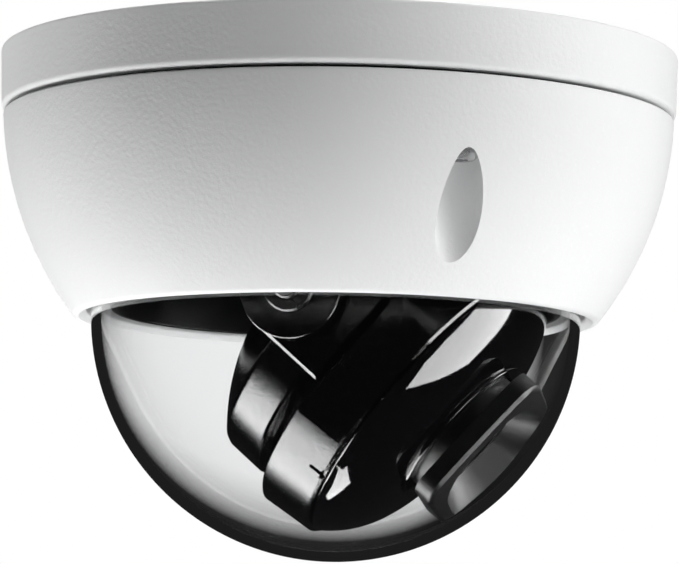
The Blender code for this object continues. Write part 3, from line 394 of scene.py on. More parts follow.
# %% [markdown]
# ## Clear plastic
# The bubble is clear moulded polycarbonate about 1.8 mm thick, so light bends at both faces and the rim of
# the bubble looks darker than the middle. A thin transparent film would be cheaper, but has no such rim,
# so the wall is modelled with both faces and refracts. Lamps would not reach the head through it in
# reasonable time, so shadow rays and mirrored rays pass straight through.

# %% The bubble's finish
def clear_plastic(name):
    """Refracting plastic that lets shadow and mirrored rays through, with faint marks in its roughness."""
    finish = bpy.data.materials.new(name)
    finish.use_nodes = True
    make, link = finish.node_tree.nodes.new, finish.node_tree.links.new
    shader = finish.node_tree.nodes["Principled BSDF"]
    shader.inputs["Base Color"].default_value = (0.985, 0.988, 0.99, 1)
    shader.inputs["Transmission Weight"].default_value = 1.0
    shader.inputs["IOR"].default_value = 1.5
    surface = make("ShaderNodeGroup")
    surface.node_tree = GRAIN
    surface.inputs["Scale"].default_value = 300
    surface.inputs["Slow Scale"].default_value = 30
    smears = make("ShaderNodeMapRange")
    smears.inputs["From Min"].default_value = 0.55
    smears.inputs["From Max"].default_value = 0.85
    smears.inputs["To Max"].default_value = 0.02
    link(surface.outputs["Tone"], smears.inputs["Value"])
    link(smears.outputs["Result"], shader.inputs["Roughness"])
    passing, paths = make("ShaderNodeBsdfTransparent"), make("ShaderNodeLightPath")
    shown = shader.outputs["BSDF"]
    for ray in ("Is Reflection Ray", "Is Shadow Ray"):
        choose = make("ShaderNodeMixShader")
        link(paths.outputs[ray], choose.inputs["Fac"])
        link(shown, choose.inputs[1])
        link(passing.outputs["BSDF"], choose.inputs[2])
        shown = choose.outputs["Shader"]
    link(shown, finish.node_tree.nodes["Material Output"].inputs["Surface"])
    return finish


CLEAR_BUBBLE = clear_plastic("clear_polycarbonate")
print("clear finish:", CLEAR_BUBBLE.name)

# %% [markdown]
# ## The base
# The base is a shallow cast pan with its flat face against the ceiling. It holds three mounting holes, a
# cable hole, and bosses inside for the cover's screws. It is turned first, then drilled. The visible band
# is coated metal, so its upper edge is tight and its lower edge, at the seam, is a little rounder.

# %% Base housing
WELLS = places_round(3, 54.3, 60)
FRONT_THREE = places_round(3, 1.0, 0)
base = turned([
    ("to", 0, 0), ("to", 60.5, 0), ("round", 60.5, -0.5, -90, 4), ("to", 60.75, -9.85),
    ("round", 59.75, -9.85, -90, 6), ("to", 57.9, -10.85), ("to", 57.9, -2.5), ("to", 0, -2.5),
])
for radius, circle, bottom in ((3.7, None, -8.35), (2.8, 44.7, -12.2), (2.8, 34.0, -4.7)):
    spots = WELLS if circle is None else [(x * circle, y * circle) for x, y in FRONT_THREE]
    base = combined(base, rods(spots, radius, bottom, -1.25), "UNION")
mount_holes = places_round(3, 51.0, 30)
CABLE_BACK = 30.0
for spots, radius, low, high in (
    (WELLS, 2.0, -14, -2.8), (mount_holes, 2.3, -6, 3), ([(0, CABLE_BACK)], 7.0, -6, 3),
):
    base = combined(base, rods(spots, radius, low, high, 48))
finished("base_housing_fine", base, WHITE_COAT, "housing")

# %% [markdown]
# ## Seal and grommet
# A rubber ring closes the seam between base and cover, and a grommet keeps water out where the lead
# enters. They could be swept along a circle, but both are plain rings, so a square section is turned and
# its edges are eased.

# %% Gasket in the seam, and the cable grommet
gasket = turned([("to", 56.3, -8.65), ("to", 57.6, -8.65), ("to", 57.6, -13.7), ("to", 56.3, -13.7)])
ease(gasket, [(57.6, -8.65), (57.6, -13.7)], 0.3)
finished("base_gasket_fine", gasket, BLACK_RUBBER, "housing")
grommet = turned([
    ("to", 3.0, -0.3), ("to", 6.7, -0.3), ("to", 6.7, -2.8), ("to", 8.7, -2.8),
    ("to", 8.7, -4.3), ("to", 3.0, -4.3),
], 64)
ease(grommet, [(3.0, -0.3), (6.7, -0.3), (8.7, -4.3), (3.0, -4.3)], 0.35)
finished("cable_grommet_fine", grommet, BLACK_RUBBER, "housing",
         place=Matrix.Translation((0, CABLE_BACK * MM, 0)))

# %% [markdown]
# ## The cover
# The cover's side follows one large arc from rim to foot. A small fillet turns it under, and a slightly
# coned ring leads to the opening for the bubble. Three screw wells rise into it; each cuts the curved side
# in a tall oval. The oval could be drawn, but cutting an upright cylinder through the side gives it for
# free, with a soft lip from a bevel, because thick powder coat rounds every edge.

# %% Cover shell with its wells
COVER_CURVE = 63.0
RIM, FOOT = Vector((60.4, -11.5)), Vector((48.1, -46.2))
OPENING = 44.7


def arc_centre(first, second, radius):
    """Centre of the circle of a radius through two points, on the left of the way from first to second."""
    way = second - first
    reach = math.sqrt(radius ** 2 - way.length_squared / 4)
    return (first + second) / 2 + Vector((way.y, -way.x)).normalized() * reach


def angle_from(centre, point):
    """Direction of a point from a centre, in degrees."""
    return math.degrees(math.atan2(point.y - centre.y, point.x - centre.x))


def on_side(height, inset=0.0):
    """Point of the cover's side at a height, at a depth below its surface."""
    return Vector((centre.x + math.sqrt((COVER_CURVE - inset) ** 2 - (height - centre.y) ** 2), height))


centre = arc_centre(RIM, FOOT, COVER_CURVE)
FOOT_FILLET = 1.6
fillet = Vector((on_side(-47.8 + FOOT_FILLET, FOOT_FILLET).x, -47.8 + FOOT_FILLET))
meets = centre + (fillet - centre).normalized() * COVER_CURVE
low_angle = angle_from(centre, meets)
inner_low, inner_high = on_side(-41.5, 2.4), on_side(-11.5, 2.4)
cover = turned([
    ("to", *RIM), ("round", *centre, low_angle - angle_from(centre, RIM), 40),
    ("round", *fillet, -90 - low_angle, 8),
    ("to", OPENING, -46.8), ("to", OPENING, -41.5), ("to", *inner_low),
    ("round", *centre, angle_from(centre, inner_high) - angle_from(centre, inner_low), 16),
], 180)
ease(cover, [tuple(RIM)], 0.4)
ease(cover, [(OPENING, -46.8)], 0.3)
blank_low, blank_high = on_side(-46.2, 1.2), on_side(-14.0, 1.2)
blank = turned([
    ("to", 0, -46.2), ("to", *blank_low),
    ("round", *centre, angle_from(centre, blank_high) - angle_from(centre, blank_low), 24), ("to", 0, -14.0),
], 180)
bosses = combined(rods(WELLS, 5.5, -47.8, -14.0, 48), blank, "INTERSECT")
cover = combined(cover, bosses, "UNION")
MOUTHS, MOUTH_RADIUS = places_round(3, 54.6, 60), 4.0
cover = combined(cover, rods(MOUTHS, MOUTH_RADIUS, -52.0, -21.5, 72))
cover = combined(cover, rods(WELLS, 2.0, -26.0, -8.0))


def on_lip(vert):
    """Whether a vertex lies where a well breaks through the cover's side."""
    outside = (Vector((vert.co.xy.length, vert.co.z)) - centre).length > COVER_CURVE - 0.05
    return outside and any(abs((vert.co.xy - Vector(spot)).length - MOUTH_RADIUS) < 0.03 for spot in MOUTHS)


bmesh.ops.remove_doubles(cover, verts=[vert for vert in cover.verts if on_lip(vert)], dist=0.15)
bevelled(cover, [edge for edge in cover.edges if on_lip(edge.verts[0]) and on_lip(edge.verts[1])], 0.3, 3)
finished("cover_shell_fine", cover, WHITE_COAT, "housing")

# %% [markdown]
# ## Bubble
# The bubble is a half sphere with a short straight neck and a flange that the cover clamps. It could be a
# sphere with a Solidify modifier, but the flange is part of the same moulding, so the whole wall is one
# turned section.

# %% Bubble
DOME_Z = -47.1
bubble = turned([
    ("to", 0, DOME_Z - 43.9), ("round", 0, DOME_Z, 90, 48), ("to", 43.9, -40.1), ("to", 46.2, -40.1),
    ("to", 46.2, -38.3), ("to", 42.1, -38.3), ("to", 42.1, DOME_Z), ("round", 0, DOME_Z, -90, 48),
], 180)
finished("dome_bubble_fine", bubble, CLEAR_BUBBLE, "housing")

# %% [markdown]
# ## Skirt and turntable
# A black skirt stands just inside the bubble and hides the works above the head. The turntable is the disc
# that pans and carries the two arms. Only their lower edges show, so both are turned, and just those edges
# are eased.

# %% Skirt and turntable
skirt = turned([
    ("to", 39.2, -19.5), ("to", 40.4, -19.5), ("to", 40.4, -34.9), ("to", 44.5, -34.9), ("to", 44.5, -35.9),
    ("to", 40.4, -35.9), ("to", 40.4, -46.8), ("to", 39.2, -46.8),
])
ease(skirt, [(40.4, -46.8), (39.2, -46.8)], 0.3)
finished("inner_liner_fine", skirt, BLACK_LINER, "housing")
table = turned([
    ("to", 5.0, -10.9), ("to", 9.0, -10.9), ("to", 9.0, -14.3), ("to", 14.0, -14.3), ("to", 14.0, -16.0),
    ("to", 37.5, -16.0), ("to", 37.5, -18.5), ("to", 5.0, -18.5),
], 96)
ease(table, [(37.5, -16.0), (37.5, -18.5), (5.0, -18.5)], 0.4)
finished("turntable_fine", table, BLACK_LINER, "yoke", place=YOKE)

# %% [markdown]
# ## Screws
# The cover's screws sit deep in the wells, so only a bright head with a star socket shows. A head is
# turned and its socket is cut with a six-pointed slab. A picture of a socket would do from far off, but
# not in a close view.

# %% Cover screws
def star(outer, inner):
    """Outline of a six-lobed socket."""
    return [(radius * math.cos(math.radians(30 * index)), radius * math.sin(math.radians(30 * index)))
            for index in range(12) for radius in [outer if index % 2 == 0 else inner]]


def socket_screw(head, height, shank, length, socket):
    """A cap screw that points up, its head below the origin, with a star socket in the head."""
    bm = turned([("to", 0, -height), ("to", head, -height), ("to", head, 0), ("to", shank, 0),
                 ("to", shank, length), ("to", 0, length)], 48)
    ease(bm, [(head, -height)], height / 4, 1)
    ease(bm, [(shank, length)], shank / 3)
    return combined(bm, slab(star(socket, socket * 0.72), -height - 1, -height * 0.4))


SCREW_SEAT = -21.8
for index, (x, y) in enumerate(WELLS, start=1):
    screw = socket_screw(3.5, 3.8, 1.7, 18.4, 2.0)
    finished(f"cover_screw_{index}_fine", screw, BRIGHT_STEEL, "housing",
             place=Matrix.Translation((x * MM, y * MM, SCREW_SEAT * MM)))

# %% [markdown]
# ## The yoke
# Two flat arms hang from the turntable and carry the head between their round ends, with a washer and a
# screw on each side. An arm is one outline lifted to its thickness; a small foot turns in under the
# turntable. Its edges get a flat chamfer in place of a round, because the moulding's edge shows as one
# thin bright line.

# %% Arms, washers and tilt screws
TILT_Z = -45.1
ARM_IN, ARM_OUT = 28.2, 31.2
FOOT_TOP = -18.8
WASHER_AT, SCREW_AT = 31.5, 32.6
for side, label in ((-1, "left"), (1, "right")):
    strap = arc_points((0, TILT_Z), 9.0, -180, 0, 48) + [(9.0, FOOT_TOP), (-9.0, FOOT_TOP)]
    arm = slab(strap, *sorted((side * ARM_IN, side * ARM_OUT)))
    bmesh.ops.transform(arm, matrix=ACROSS, verts=arm.verts)
    low, high = sorted((side * (ARM_IN - 6.2), side * (ARM_OUT - 0.3)))
    foot = slab([(low, -8.7), (high, -8.7), (high, 8.7), (low, 8.7)], FOOT_TOP - 2.2, FOOT_TOP)
    arm = combined(arm, foot, "UNION")
    soften(arm, 0.6, 1)
    finished(f"yoke_arm_{label}_fine", arm, BLACK_MOULDING, "yoke", place=YOKE)
    outward = Matrix.Rotation(-side * math.pi / 2, 4, "Y")
    washer = turned([("to", 1.8, 0), ("to", 4.5, 0), ("to", 4.5, -0.8), ("to", 1.8, -0.8)], 72)
    ease(washer, [(4.5, -0.8)], 0.35, 1)
    facing = Matrix.Translation((side * WASHER_AT * MM, 0, TILT_Z * MM)) @ outward
    finished(f"tilt_washer_{label}_fine", washer, DARK_STEEL, "yoke", place=YOKE @ facing)
    screw = socket_screw(2.4, 1.4, 1.5, 8.6, 1.3)
    facing = Matrix.Translation((side * SCREW_AT * MM, 0, TILT_Z * MM)) @ outward
    finished(f"tilt_screw_{label}_fine", screw, DARK_STEEL, "yoke", place=YOKE @ facing)

# %% [markdown]
# ## The lens head
# Behind is a domed shell with an ear on each side for the tilt screws; in front of it an index ring, and
# then a polished dome that turns in the ring. The shell is turned, squeezed a little and trimmed to flats.
# The ears could be bevelled after the union, but the short edges along the joint hold that bevel back, so
# they are chamfered first.

# %% Rear shell
def trimmed(bm, half):
    """Cut a round piece of the head to flats at a half width on both sides."""
    blocks = bmesh.new()
    for side in (-1, 1):
        block = Matrix.Translation((side * (half + 20), 0, 0)) @ Matrix.Diagonal((40, 160, 160, 1))
        bmesh.ops.create_cube(blocks, size=1.0, matrix=block)
    return combined(bm, blocks)


def cap_angle(radius, curve):
    """Angle from the axis at which a sphere of a curve reaches a radius, in degrees."""
    return math.degrees(math.asin(radius / curve))


PIVOT_Y, PIVOT_Z = 1.5002, -1.3226
REAR_CENTRE, REAR_CURVE = 30.25, 41.05
SIDE_SQUEEZE = 0.955
hollow = REAR_CENTRE - math.sqrt((REAR_CURVE - 2) ** 2 - 25.9 ** 2)
rear = turned([
    ("to", 0, REAR_CENTRE - REAR_CURVE), ("round", 0, REAR_CENTRE, cap_angle(29.4, REAR_CURVE), 28),
    ("to", 29.4, 9.4), ("to", 26.4, 9.4), ("to", 27.9, 12.9), ("to", 27.9, 17.0), ("to", 25.9, 17.0),
    ("to", 25.9, hollow),
    ("round", 0, REAR_CENTRE, -cap_angle(25.9, REAR_CURVE - 2), 12),
])
bmesh.ops.scale(rear, vec=(SIDE_SQUEEZE, 1, 1), verts=rear.verts)
rear = trimmed(rear, 27.6)
soften(rear, 0.5, 1)
EAR_IN, EAR_OUT, EAR_END, EAR_RADIUS = 24.0, 27.8, 12.0, 9.3
ear = arc_points((PIVOT_Y, PIVOT_Z), EAR_RADIUS, 180, 360, 48)
ear += [(PIVOT_Y + EAR_RADIUS, EAR_END), (PIVOT_Y - EAR_RADIUS, EAR_END)]
for side in (-1, 1):
    lug = slab(ear, *sorted((side * EAR_IN, side * EAR_OUT)))
    outer = {vert for vert in lug.verts if abs(vert.co.z) > EAR_OUT - 1}
    bevelled(lug, [edge for edge in lug.edges if outer.issuperset(edge.verts)], 0.5, 1)
    bmesh.ops.transform(lug, matrix=ACROSS, verts=lug.verts)
    rear = combined(rear, lug, "UNION")
bore = rods([(0, 0)], 1.8, -33, 33)
bmesh.ops.transform(bore, verts=bore.verts,
                    matrix=Matrix.Translation((0, PIVOT_Y, PIVOT_Z)) @ Matrix.Rotation(math.pi / 2, 4, "Y"))
rear = combined(rear, bore)
finished("rear_shell_fine", rear, BLACK_MOULDING, "head", place=HEAD)

# %% [markdown]
# ## Index ring
# The ring narrows to the front and has flats at the sides; a small T-shaped notch marks its middle. The
# notch could be a dark line in the finish, but a cut shows from all sides. Cutters that overlap confuse
# the boolean, so the two bars of the T are cut one by one.

# %% Index ring with its mark
MARK_TURN, MARK_CIRCLE, MARK_DEPTH = 218.5, 31.2, 1.8
ring = turned([("to", 32.3, 13.2), ("to", 31.0, 23.3), ("to", 28.2, 23.3), ("to", 28.2, 13.2)])
ring = trimmed(ring, 29.4)
soften(ring, 0.4, 1)
for width, low, high in ((0.8, 20.3, 24.0), (2.2, 22.6, 24.1)):
    mark = Matrix.Translation((MARK_CIRCLE, 0, (low + high) / 2))
    mark = Matrix.Rotation(math.radians(MARK_TURN), 4, "Z") @ mark
    notch = bmesh.new()
    bmesh.ops.create_cube(notch, size=1.0, matrix=mark @ Matrix.Diagonal((MARK_DEPTH, width, high - low, 1)))
    ring = combined(ring, notch)
finished("index_ring_fine", ring, BLACK_MOULDING, "head", place=HEAD)

# %% [markdown]
# ## Front dome
# The front is a dark polished window that only infra-red light passes. Its shoulder is one arc from the
# ring to the mouth, where a low collar holds the hood. A squashed sphere would come close, but the arc
# keeps the highlight's curved edge true, so the section is drawn with it, inside and out.

# %% Front dome
FRONT_CURVE, FRONT_WALL, MOUTH, COLLAR, SKIRT = 18.0, 2.0, 31.0, 0.6, 26.4
front_edge, mouth_edge = Vector((30.2, 23.6)), Vector((15.0, MOUTH))
shoulder = arc_centre(mouth_edge, front_edge, FRONT_CURVE)
inner_curve = FRONT_CURVE - FRONT_WALL
skirt_edge = Vector((SKIRT, shoulder.y + math.sqrt(inner_curve ** 2 - (SKIRT - shoulder.x) ** 2)))
mouth_rear = shoulder + (mouth_edge - shoulder).normalized() * inner_curve
outer_swing = angle_from(shoulder, mouth_edge) - angle_from(shoulder, front_edge)
inner_swing = angle_from(shoulder, skirt_edge) - angle_from(shoulder, mouth_rear)
front = turned([
    ("to", *front_edge), ("round", *shoulder, outer_swing, 32), ("to", 15.0, MOUTH + COLLAR),
    ("to", 12.6, MOUTH + COLLAR), ("to", 12.6, mouth_rear.y), ("to", *mouth_rear),
    ("round", *shoulder, inner_swing, 16), ("to", SKIRT, 17.3), ("to", 27.9, 17.3), ("to", 27.9, 23.6),
])
ease(front, [(30.2, 23.6), (12.6, MOUTH + COLLAR), (15.0, MOUTH + COLLAR)], 0.25)
finished("front_dome_fine", front, GLOSS_WINDOW, "lens_unit", place=HEAD)

# %% [markdown]
# ## Lens hood
# A soft square rubber hood keeps light of the infra-red lamps out of the lens. Its front follows the
# inside of the bubble. The block is a rounded square with a sloped, chamfered lip. A ball trims its front,
# a funnel opens its recess, and the whole hood is turned a little about the lens, as it sits on the real
# one.

# %% Lens hood
def rounded_square(half, corner, steps=10):
    """Outline of a square with round corners."""
    inner = half - corner
    outline = []
    for quarter, (x, y) in enumerate(((inner, inner), (-inner, inner), (-inner, -inner), (inner, -inner))):
        outline += arc_points((x, y), corner, 90 * quarter, 90 * quarter + 90, steps)
    return outline


FLANGE, HOOD_SPHERE = MOUTH + 3.3, 41.45
HOOD_HALF, HOOD_TURN, LIP, LIP_SLOPE = 13.9, -10.0, 37.7, 0.08
retainer = MOUTH - FRONT_WALL - 0.3
hood = turned([
    ("to", 7.9, FLANGE + 0.3), ("to", 12.2, FLANGE + 0.3), ("to", 12.2, retainer), ("to", 14.0, retainer),
    ("to", 14.0, retainer - 1.0), ("to", 9.0, retainer - 1.0), ("to", 9.0, FLANGE - 0.3),
    ("to", 7.9, FLANGE - 0.3),
], 96)
block = slab(rounded_square(HOOD_HALF, 4.0), FLANGE, 43.9)
lip = [vert for vert in block.verts if vert.co.z > 40]
for vert in lip:
    vert.co.z = LIP + (vert.co.x + HOOD_HALF) * LIP_SLOPE
bevelled(block, [edge for edge in block.edges if set(edge.verts) <= set(lip)], 0.6, 1)
ball = bmesh.new()
bmesh.ops.create_uvsphere(ball, u_segments=96, v_segments=64, radius=HOOD_SPHERE)
block = combined(block, ball, "INTERSECT")
hood = combined(hood, block, "UNION")
funnel = slab(rounded_square(8.6, 6.0), FLANGE + 0.5, FLANGE + 12.5)
top = [vert for vert in funnel.verts if vert.co.z > FLANGE + 6]
bmesh.ops.scale(funnel, vec=(1.95, 1.95, 1), verts=top)
hood = combined(hood, funnel)
hood = combined(hood, rods([(0, 0)], 7.9, FLANGE - 0.2, FLANGE + 3, 96))
soften(hood, 0.3, 3, 40.0)
hood_turn = Matrix.Rotation(math.radians(HOOD_TURN), 3, "Z")
bmesh.ops.rotate(hood, cent=(0, 0, 0), matrix=hood_turn, verts=hood.verts)
finished("lens_hood_fine", hood, BLACK_RUBBER, "lens_unit", place=HEAD)

# %% [markdown]
# ## Lens
# A dark barrel holds a domed front glass, which shows as a violet spot in the hood. The glass could
# refract like the bubble, but nothing behind it shows, so it is a closed dark body with a coated, very
# smooth surface.

# %% Lens barrel and glass
LENS_FRONT = FLANGE - 0.6
seat = LENS_FRONT - 2.6
barrel = turned([
    ("to", 4.0, 10.0), ("to", 8.7, 10.0), ("to", 8.7, 15.9), ("to", 11.0, 15.9), ("to", 11.0, 17.3),
    ("to", 8.7, 17.3), ("to", 8.7, LENS_FRONT), ("to", 7.9, LENS_FRONT), ("to", 7.9, seat), ("to", 4.0, seat),
], 96)
ease(barrel, [(8.7, LENS_FRONT), (7.9, LENS_FRONT)], 0.2)
finished("lens_barrel_fine", barrel, BLACK_MOULDING, "lens_unit", place=HEAD)
glass_curve = (7.6 ** 2 + 1.0) / 2
glass_top = seat + 0.3 + 1.1 + 1.0
glass = turned([
    ("to", 0, seat + 0.3), ("to", 7.6, seat + 0.3), ("to", 7.6, glass_top - 1.0),
    ("round", 0, glass_top - glass_curve, cap_angle(7.6, glass_curve), 16),
], 96)
finished("lens_glass_fine", glass, LENS_COATING, "lens_unit", place=HEAD)

# %% [markdown]
# ## Pieces that stay as they are
# Boards, clamps and small screws are inside, and their solids are right as they stand. They keep their
# meshes and get a finish with grain in place of a flat colour, chosen by the slot that the record gives
# each node.

# %% Finishes for the carried-over nodes
FINISH_OF_SLOT = {
    "white_coat": WHITE_COAT, "black_rubber": BLACK_RUBBER, "circuit_board": GREEN_BOARD,
    "screw_steel": BRIGHT_STEEL, "socket_plastic": PALE_PLASTIC, "sheet_metal": SHEET_METAL,
    "clear_bubble": CLEAR_BUBBLE, "black_moulding": BLACK_MOULDING, "gloss_window": GLOSS_WINDOW,
    "led_lens": LED_EPOXY, "lens_coating": LENS_COATING, "sensor_chip": SENSOR_FACE,
}
for subpart in frame["record"]["subparts"]:
    mesh = frame["nodes"][subpart["node"]].data
    mesh.materials.clear()
    mesh.materials.append(FINISH_OF_SLOT[subpart["material_slot"]])

# %% [markdown]
# ## Soft boxes
# The picture is a product shot on white. Large soft lights stand to the right and to the left, weaker ones
# below fill the underside of the cover, and a small one lights the flat top, which only other views show.
# They could show in the gloss too, but then every change to the white coat would move a highlight on the
# head, so they light surfaces only.

# %% Soft boxes
AIM = VIEW @ Vector((0, 0, -0.055))


def seen_from(azimuth, elevation):
    """Direction from the dome; azimuth runs from the camera to the right, as the camera sees it."""
    turn, rise = math.radians(azimuth), math.radians(elevation)
    level = math.cos(rise)
    return VIEW.to_3x3() @ Vector((math.sin(turn) * level, -math.cos(turn) * level, math.sin(rise)))


def softbox(name, azimuth, elevation, distance, size, power):
    """Square area lamp aimed at the dome, which lights surfaces and doesn't show in gloss."""
    away = seen_from(azimuth, elevation)
    lamp = bpy.data.lights.new(name, "AREA")
    lamp.shape = "RECTANGLE"
    lamp.size = lamp.size_y = size
    lamp.energy = power
    box = bpy.data.objects.new(name, lamp)
    bpy.context.scene.collection.objects.link(box)
    facing = away.to_track_quat("Z", "Y").to_matrix().to_4x4()
    box.matrix_world = Matrix.Translation(AIM + away * distance) @ facing
    box.visible_camera = box.visible_transmission = box.visible_glossy = False


for settings in (
    ("key_right", 90, 20, 1.2, 0.7, 8.0), ("key_front", 60, 25, 1.2, 0.6, 5.3),
    ("fill_left", -98, 5, 1.2, 0.6, 6.4), ("low_left", -130, -40, 0.7, 0.4, 3.5),
    ("low_middle", -40, -75, 0.5, 0.3, 1.3), ("low_front", 40, -40, 0.8, 0.4, 2.0),
    ("low_right", 100, -46, 0.7, 0.4, 1.2), ("over_top", 0, 89, 0.35, 0.25, 0.7),
):
    softbox(*settings)
print("soft boxes:", len(bpy.data.lights))

# %% [markdown]
# ## Bright cards
# The bright bands and patches on the black head are made as mirror images of white cards. They could be
# area lamps, but a lamp is a rectangle, and these have slanted edges. So each is a flat shape far away,
# given by the directions of its corners. It shows only to rays that have passed both faces of the bubble,
# which keeps the clear plastic itself free of it.

# %% Cards
CARD_DISTANCE, CARD_STRENGTH, BOTH_FACES = 3.0, 13.0, 1.5


def card_finish(name):
    """Light for rays that have passed both faces of the bubble, and nothing for others."""
    glow = bpy.data.materials.new(name)
    glow.use_nodes = True
    nodes, link = glow.node_tree.nodes, glow.node_tree.links.new
    nodes.remove(nodes["Principled BSDF"])
    paths, deep = nodes.new("ShaderNodeLightPath"), nodes.new("ShaderNodeMath")
    light, nothing = nodes.new("ShaderNodeEmission"), nodes.new("ShaderNodeBsdfTransparent")
    choose = nodes.new("ShaderNodeMixShader")
    light.inputs["Strength"].default_value = CARD_STRENGTH
    deep.operation = "GREATER_THAN"
    deep.inputs[1].default_value = BOTH_FACES
    link(paths.outputs["Transmission Depth"], deep.inputs[0])
    link(deep.outputs[0], choose.inputs["Fac"])
    link(nothing.outputs["BSDF"], choose.inputs[1])
    link(light.outputs["Emission"], choose.inputs[2])
    link(choose.outputs["Shader"], nodes["Material Output"].inputs["Surface"])
    return glow


def card(name, corners):
    """A bright card for what lies behind the bubble; corners are (azimuth, elevation) in degrees."""
    bm = bmesh.new()
    ways = [seen_from(azimuth, elevation) for azimuth, elevation in corners]
    bm.faces.new([bm.verts.new(AIM + way * CARD_DISTANCE) for way in ways])
    mesh = bpy.data.meshes.new(name)
    bm.to_mesh(mesh)
    bm.free()
    mesh.materials.append(card_finish(name))
    panel = bpy.data.objects.new(name, mesh)
    bpy.context.scene.collection.objects.link(panel)
    panel.visible_camera = panel.visible_diffuse = False
    panel.visible_transmission = panel.visible_shadow = False
    print(name, "corners:", len(corners))


card("card_right", [(52, -40), (54, -25), (62, -12), (75, 2), (86, 40), (118, 40), (110, -8), (105, -25),
                    (92, -31), (70, -37)])
card("card_left", [(-118, -24), (-88, -23), (-66, -38), (-58, -46), (-46, -52), (-25, -58), (0, -62),
                   (5, -80), (-60, -84), (-150, -80), (-135, -45)])
card("card_below", [(-36, -88), (136, -83), (112, -82), (149, -67), (180, -60), (-176, -64), (178, -73),
                    (152, -86)])

# %% [markdown]
# ## World
# The backdrop is white for the camera. Seen through the bubble it is white too, but fades to dark
# downwards and to the right, as if no white wall stood there; that draws the dark rim of the bubble. In
# mirror images and as ambient light it is almost black, or the black plastic would look grey. One white
# world could do without these cases, but black gloss shows all that is round it.

# %% World
AMBIENT, MIRRORED, BACKDROP, DIM = 0.02, 0.012, 1.0, 0.03


def switched(tree, factor, no, yes):
    """Mix two strengths by a light path factor; each is a number or a socket."""
    mix = tree.nodes.new("ShaderNodeMix")
    tree.links.new(factor, mix.inputs[0])
    for socket, value in ((mix.inputs[2], no), (mix.inputs[3], yes)):
        if isinstance(value, float):
            socket.default_value = value
        else:
            tree.links.new(value, socket)
    return mix.outputs[0]


def faded(tree, axis, dark_at, bright_at):
    """Strength that runs from dim to full along one axis of the direction a ray goes."""
    way, along = tree.nodes.new("ShaderNodeTexCoord"), tree.nodes.new("ShaderNodeVectorMath")
    fade = tree.nodes.new("ShaderNodeMapRange")
    along.operation = "DOT_PRODUCT"
    along.inputs[1].default_value = axis
    for label, value in (("From Min", dark_at), ("From Max", bright_at), ("To Min", DIM), ("To Max", 1.0)):
        fade.inputs[label].default_value = value
    tree.links.new(way.outputs["Generated"], along.inputs[0])
    tree.links.new(along.outputs["Value"], fade.inputs["Value"])
    return fade.outputs["Result"]


world = bpy.data.worlds.new("white_studio")
bpy.context.scene.world = world
world.use_nodes = True
sky = world.node_tree
paths = sky.nodes.new("ShaderNodeLightPath")
through, mirrored = sky.nodes.new("ShaderNodeMath"), sky.nodes.new("ShaderNodeMath")
through.operation, mirrored.operation = "MULTIPLY", "GREATER_THAN"
mirrored.inputs[1].default_value = 0.5
sky.links.new(faded(sky, Vector((0, 0, 1)), -0.11, 0.03), through.inputs[0])
sky.links.new(faded(sky, VIEW.col[0].xyz, 0.14, 0.065), through.inputs[1])
sky.links.new(paths.outputs["Glossy Depth"], mirrored.inputs[0])
strength = switched(sky, paths.outputs["Is Transmission Ray"], AMBIENT, through.outputs[0])
strength = switched(sky, mirrored.outputs[0], strength, MIRRORED)
strength = switched(sky, paths.outputs["Is Camera Ray"], strength, BACKDROP)
sky.nodes["Background"].inputs["Color"].default_value = (1, 1, 1, 1)
sky.links.new(strength, sky.nodes["Background"].inputs["Strength"])
print("world nodes:", len(sky.nodes))

# %% [markdown]
# ## Floor
# A plain pale floor lies well below the part. The lamps alone would leave it grey, and stronger lamps
# would change the part, so it shines a little for the camera, and for rays through the bubble in a round
# pool in its middle. It stays out of mirror images, where it would stand in front of the cards below.

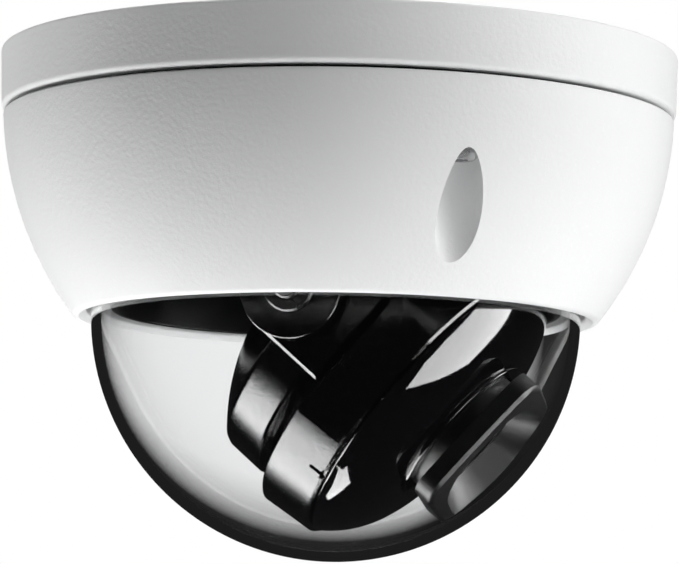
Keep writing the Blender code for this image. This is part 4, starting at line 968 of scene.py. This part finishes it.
# %% Floor
FLOOR_RADIUS, FLOOR_HEIGHT = 4.0, -0.75
POOL_RADIUS, FLOOR_GLOW = 2.2, 0.45


def floor_finish():
    """Pale paint that shines for the camera, and inside the pool for rays through the bubble."""
    pale = grained("pale_floor", (0.78, 0.78, 0.78), (0.82, 0.82, 0.82), 40, 1e-5, (0.7, 0.8), 3)
    make, link = pale.node_tree.nodes.new, pale.node_tree.links.new
    shader = pale.node_tree.nodes["Principled BSDF"]
    shader.inputs["Emission Color"].default_value = (1, 1, 1, 1)
    paths, spot, reach = make("ShaderNodeLightPath"), make("ShaderNodeTexCoord"), make("ShaderNodeVectorMath")
    pool, seen, shown = make("ShaderNodeMath"), make("ShaderNodeMath"), make("ShaderNodeMath")
    reach.operation, pool.operation = "LENGTH", "LESS_THAN"
    seen.operation, shown.operation = "MULTIPLY_ADD", "MULTIPLY"
    pool.inputs[1].default_value = POOL_RADIUS
    shown.inputs[1].default_value = FLOOR_GLOW
    link(spot.outputs["Object"], reach.inputs[0])
    link(reach.outputs["Value"], pool.inputs[0])
    link(paths.outputs["Is Transmission Ray"], seen.inputs[0])
    link(pool.outputs[0], seen.inputs[1])
    link(paths.outputs["Is Camera Ray"], seen.inputs[2])
    link(seen.outputs[0], shown.inputs[0])
    link(shown.outputs[0], shader.inputs["Emission Strength"])
    return pale


disc = bmesh.new()
bmesh.ops.create_circle(disc, cap_ends=True, segments=96, radius=FLOOR_RADIUS,
                        matrix=Matrix.Translation((0, 0, FLOOR_HEIGHT)))
floor_mesh = bpy.data.meshes.new("studio_floor")
disc.to_mesh(floor_mesh)
disc.free()
floor_mesh.materials.append(floor_finish())
floor = bpy.data.objects.new("studio_floor", floor_mesh)
bpy.context.scene.collection.objects.link(floor)
floor.visible_glossy = False
print("floor at", FLOOR_HEIGHT, "m")

# %% [markdown]
# ## Colours
# The Standard view shows each colour about as it is written; a filmic view would grey the white backdrop.

# %% Colour view
bpy.context.scene.view_settings.view_transform = "Standard"
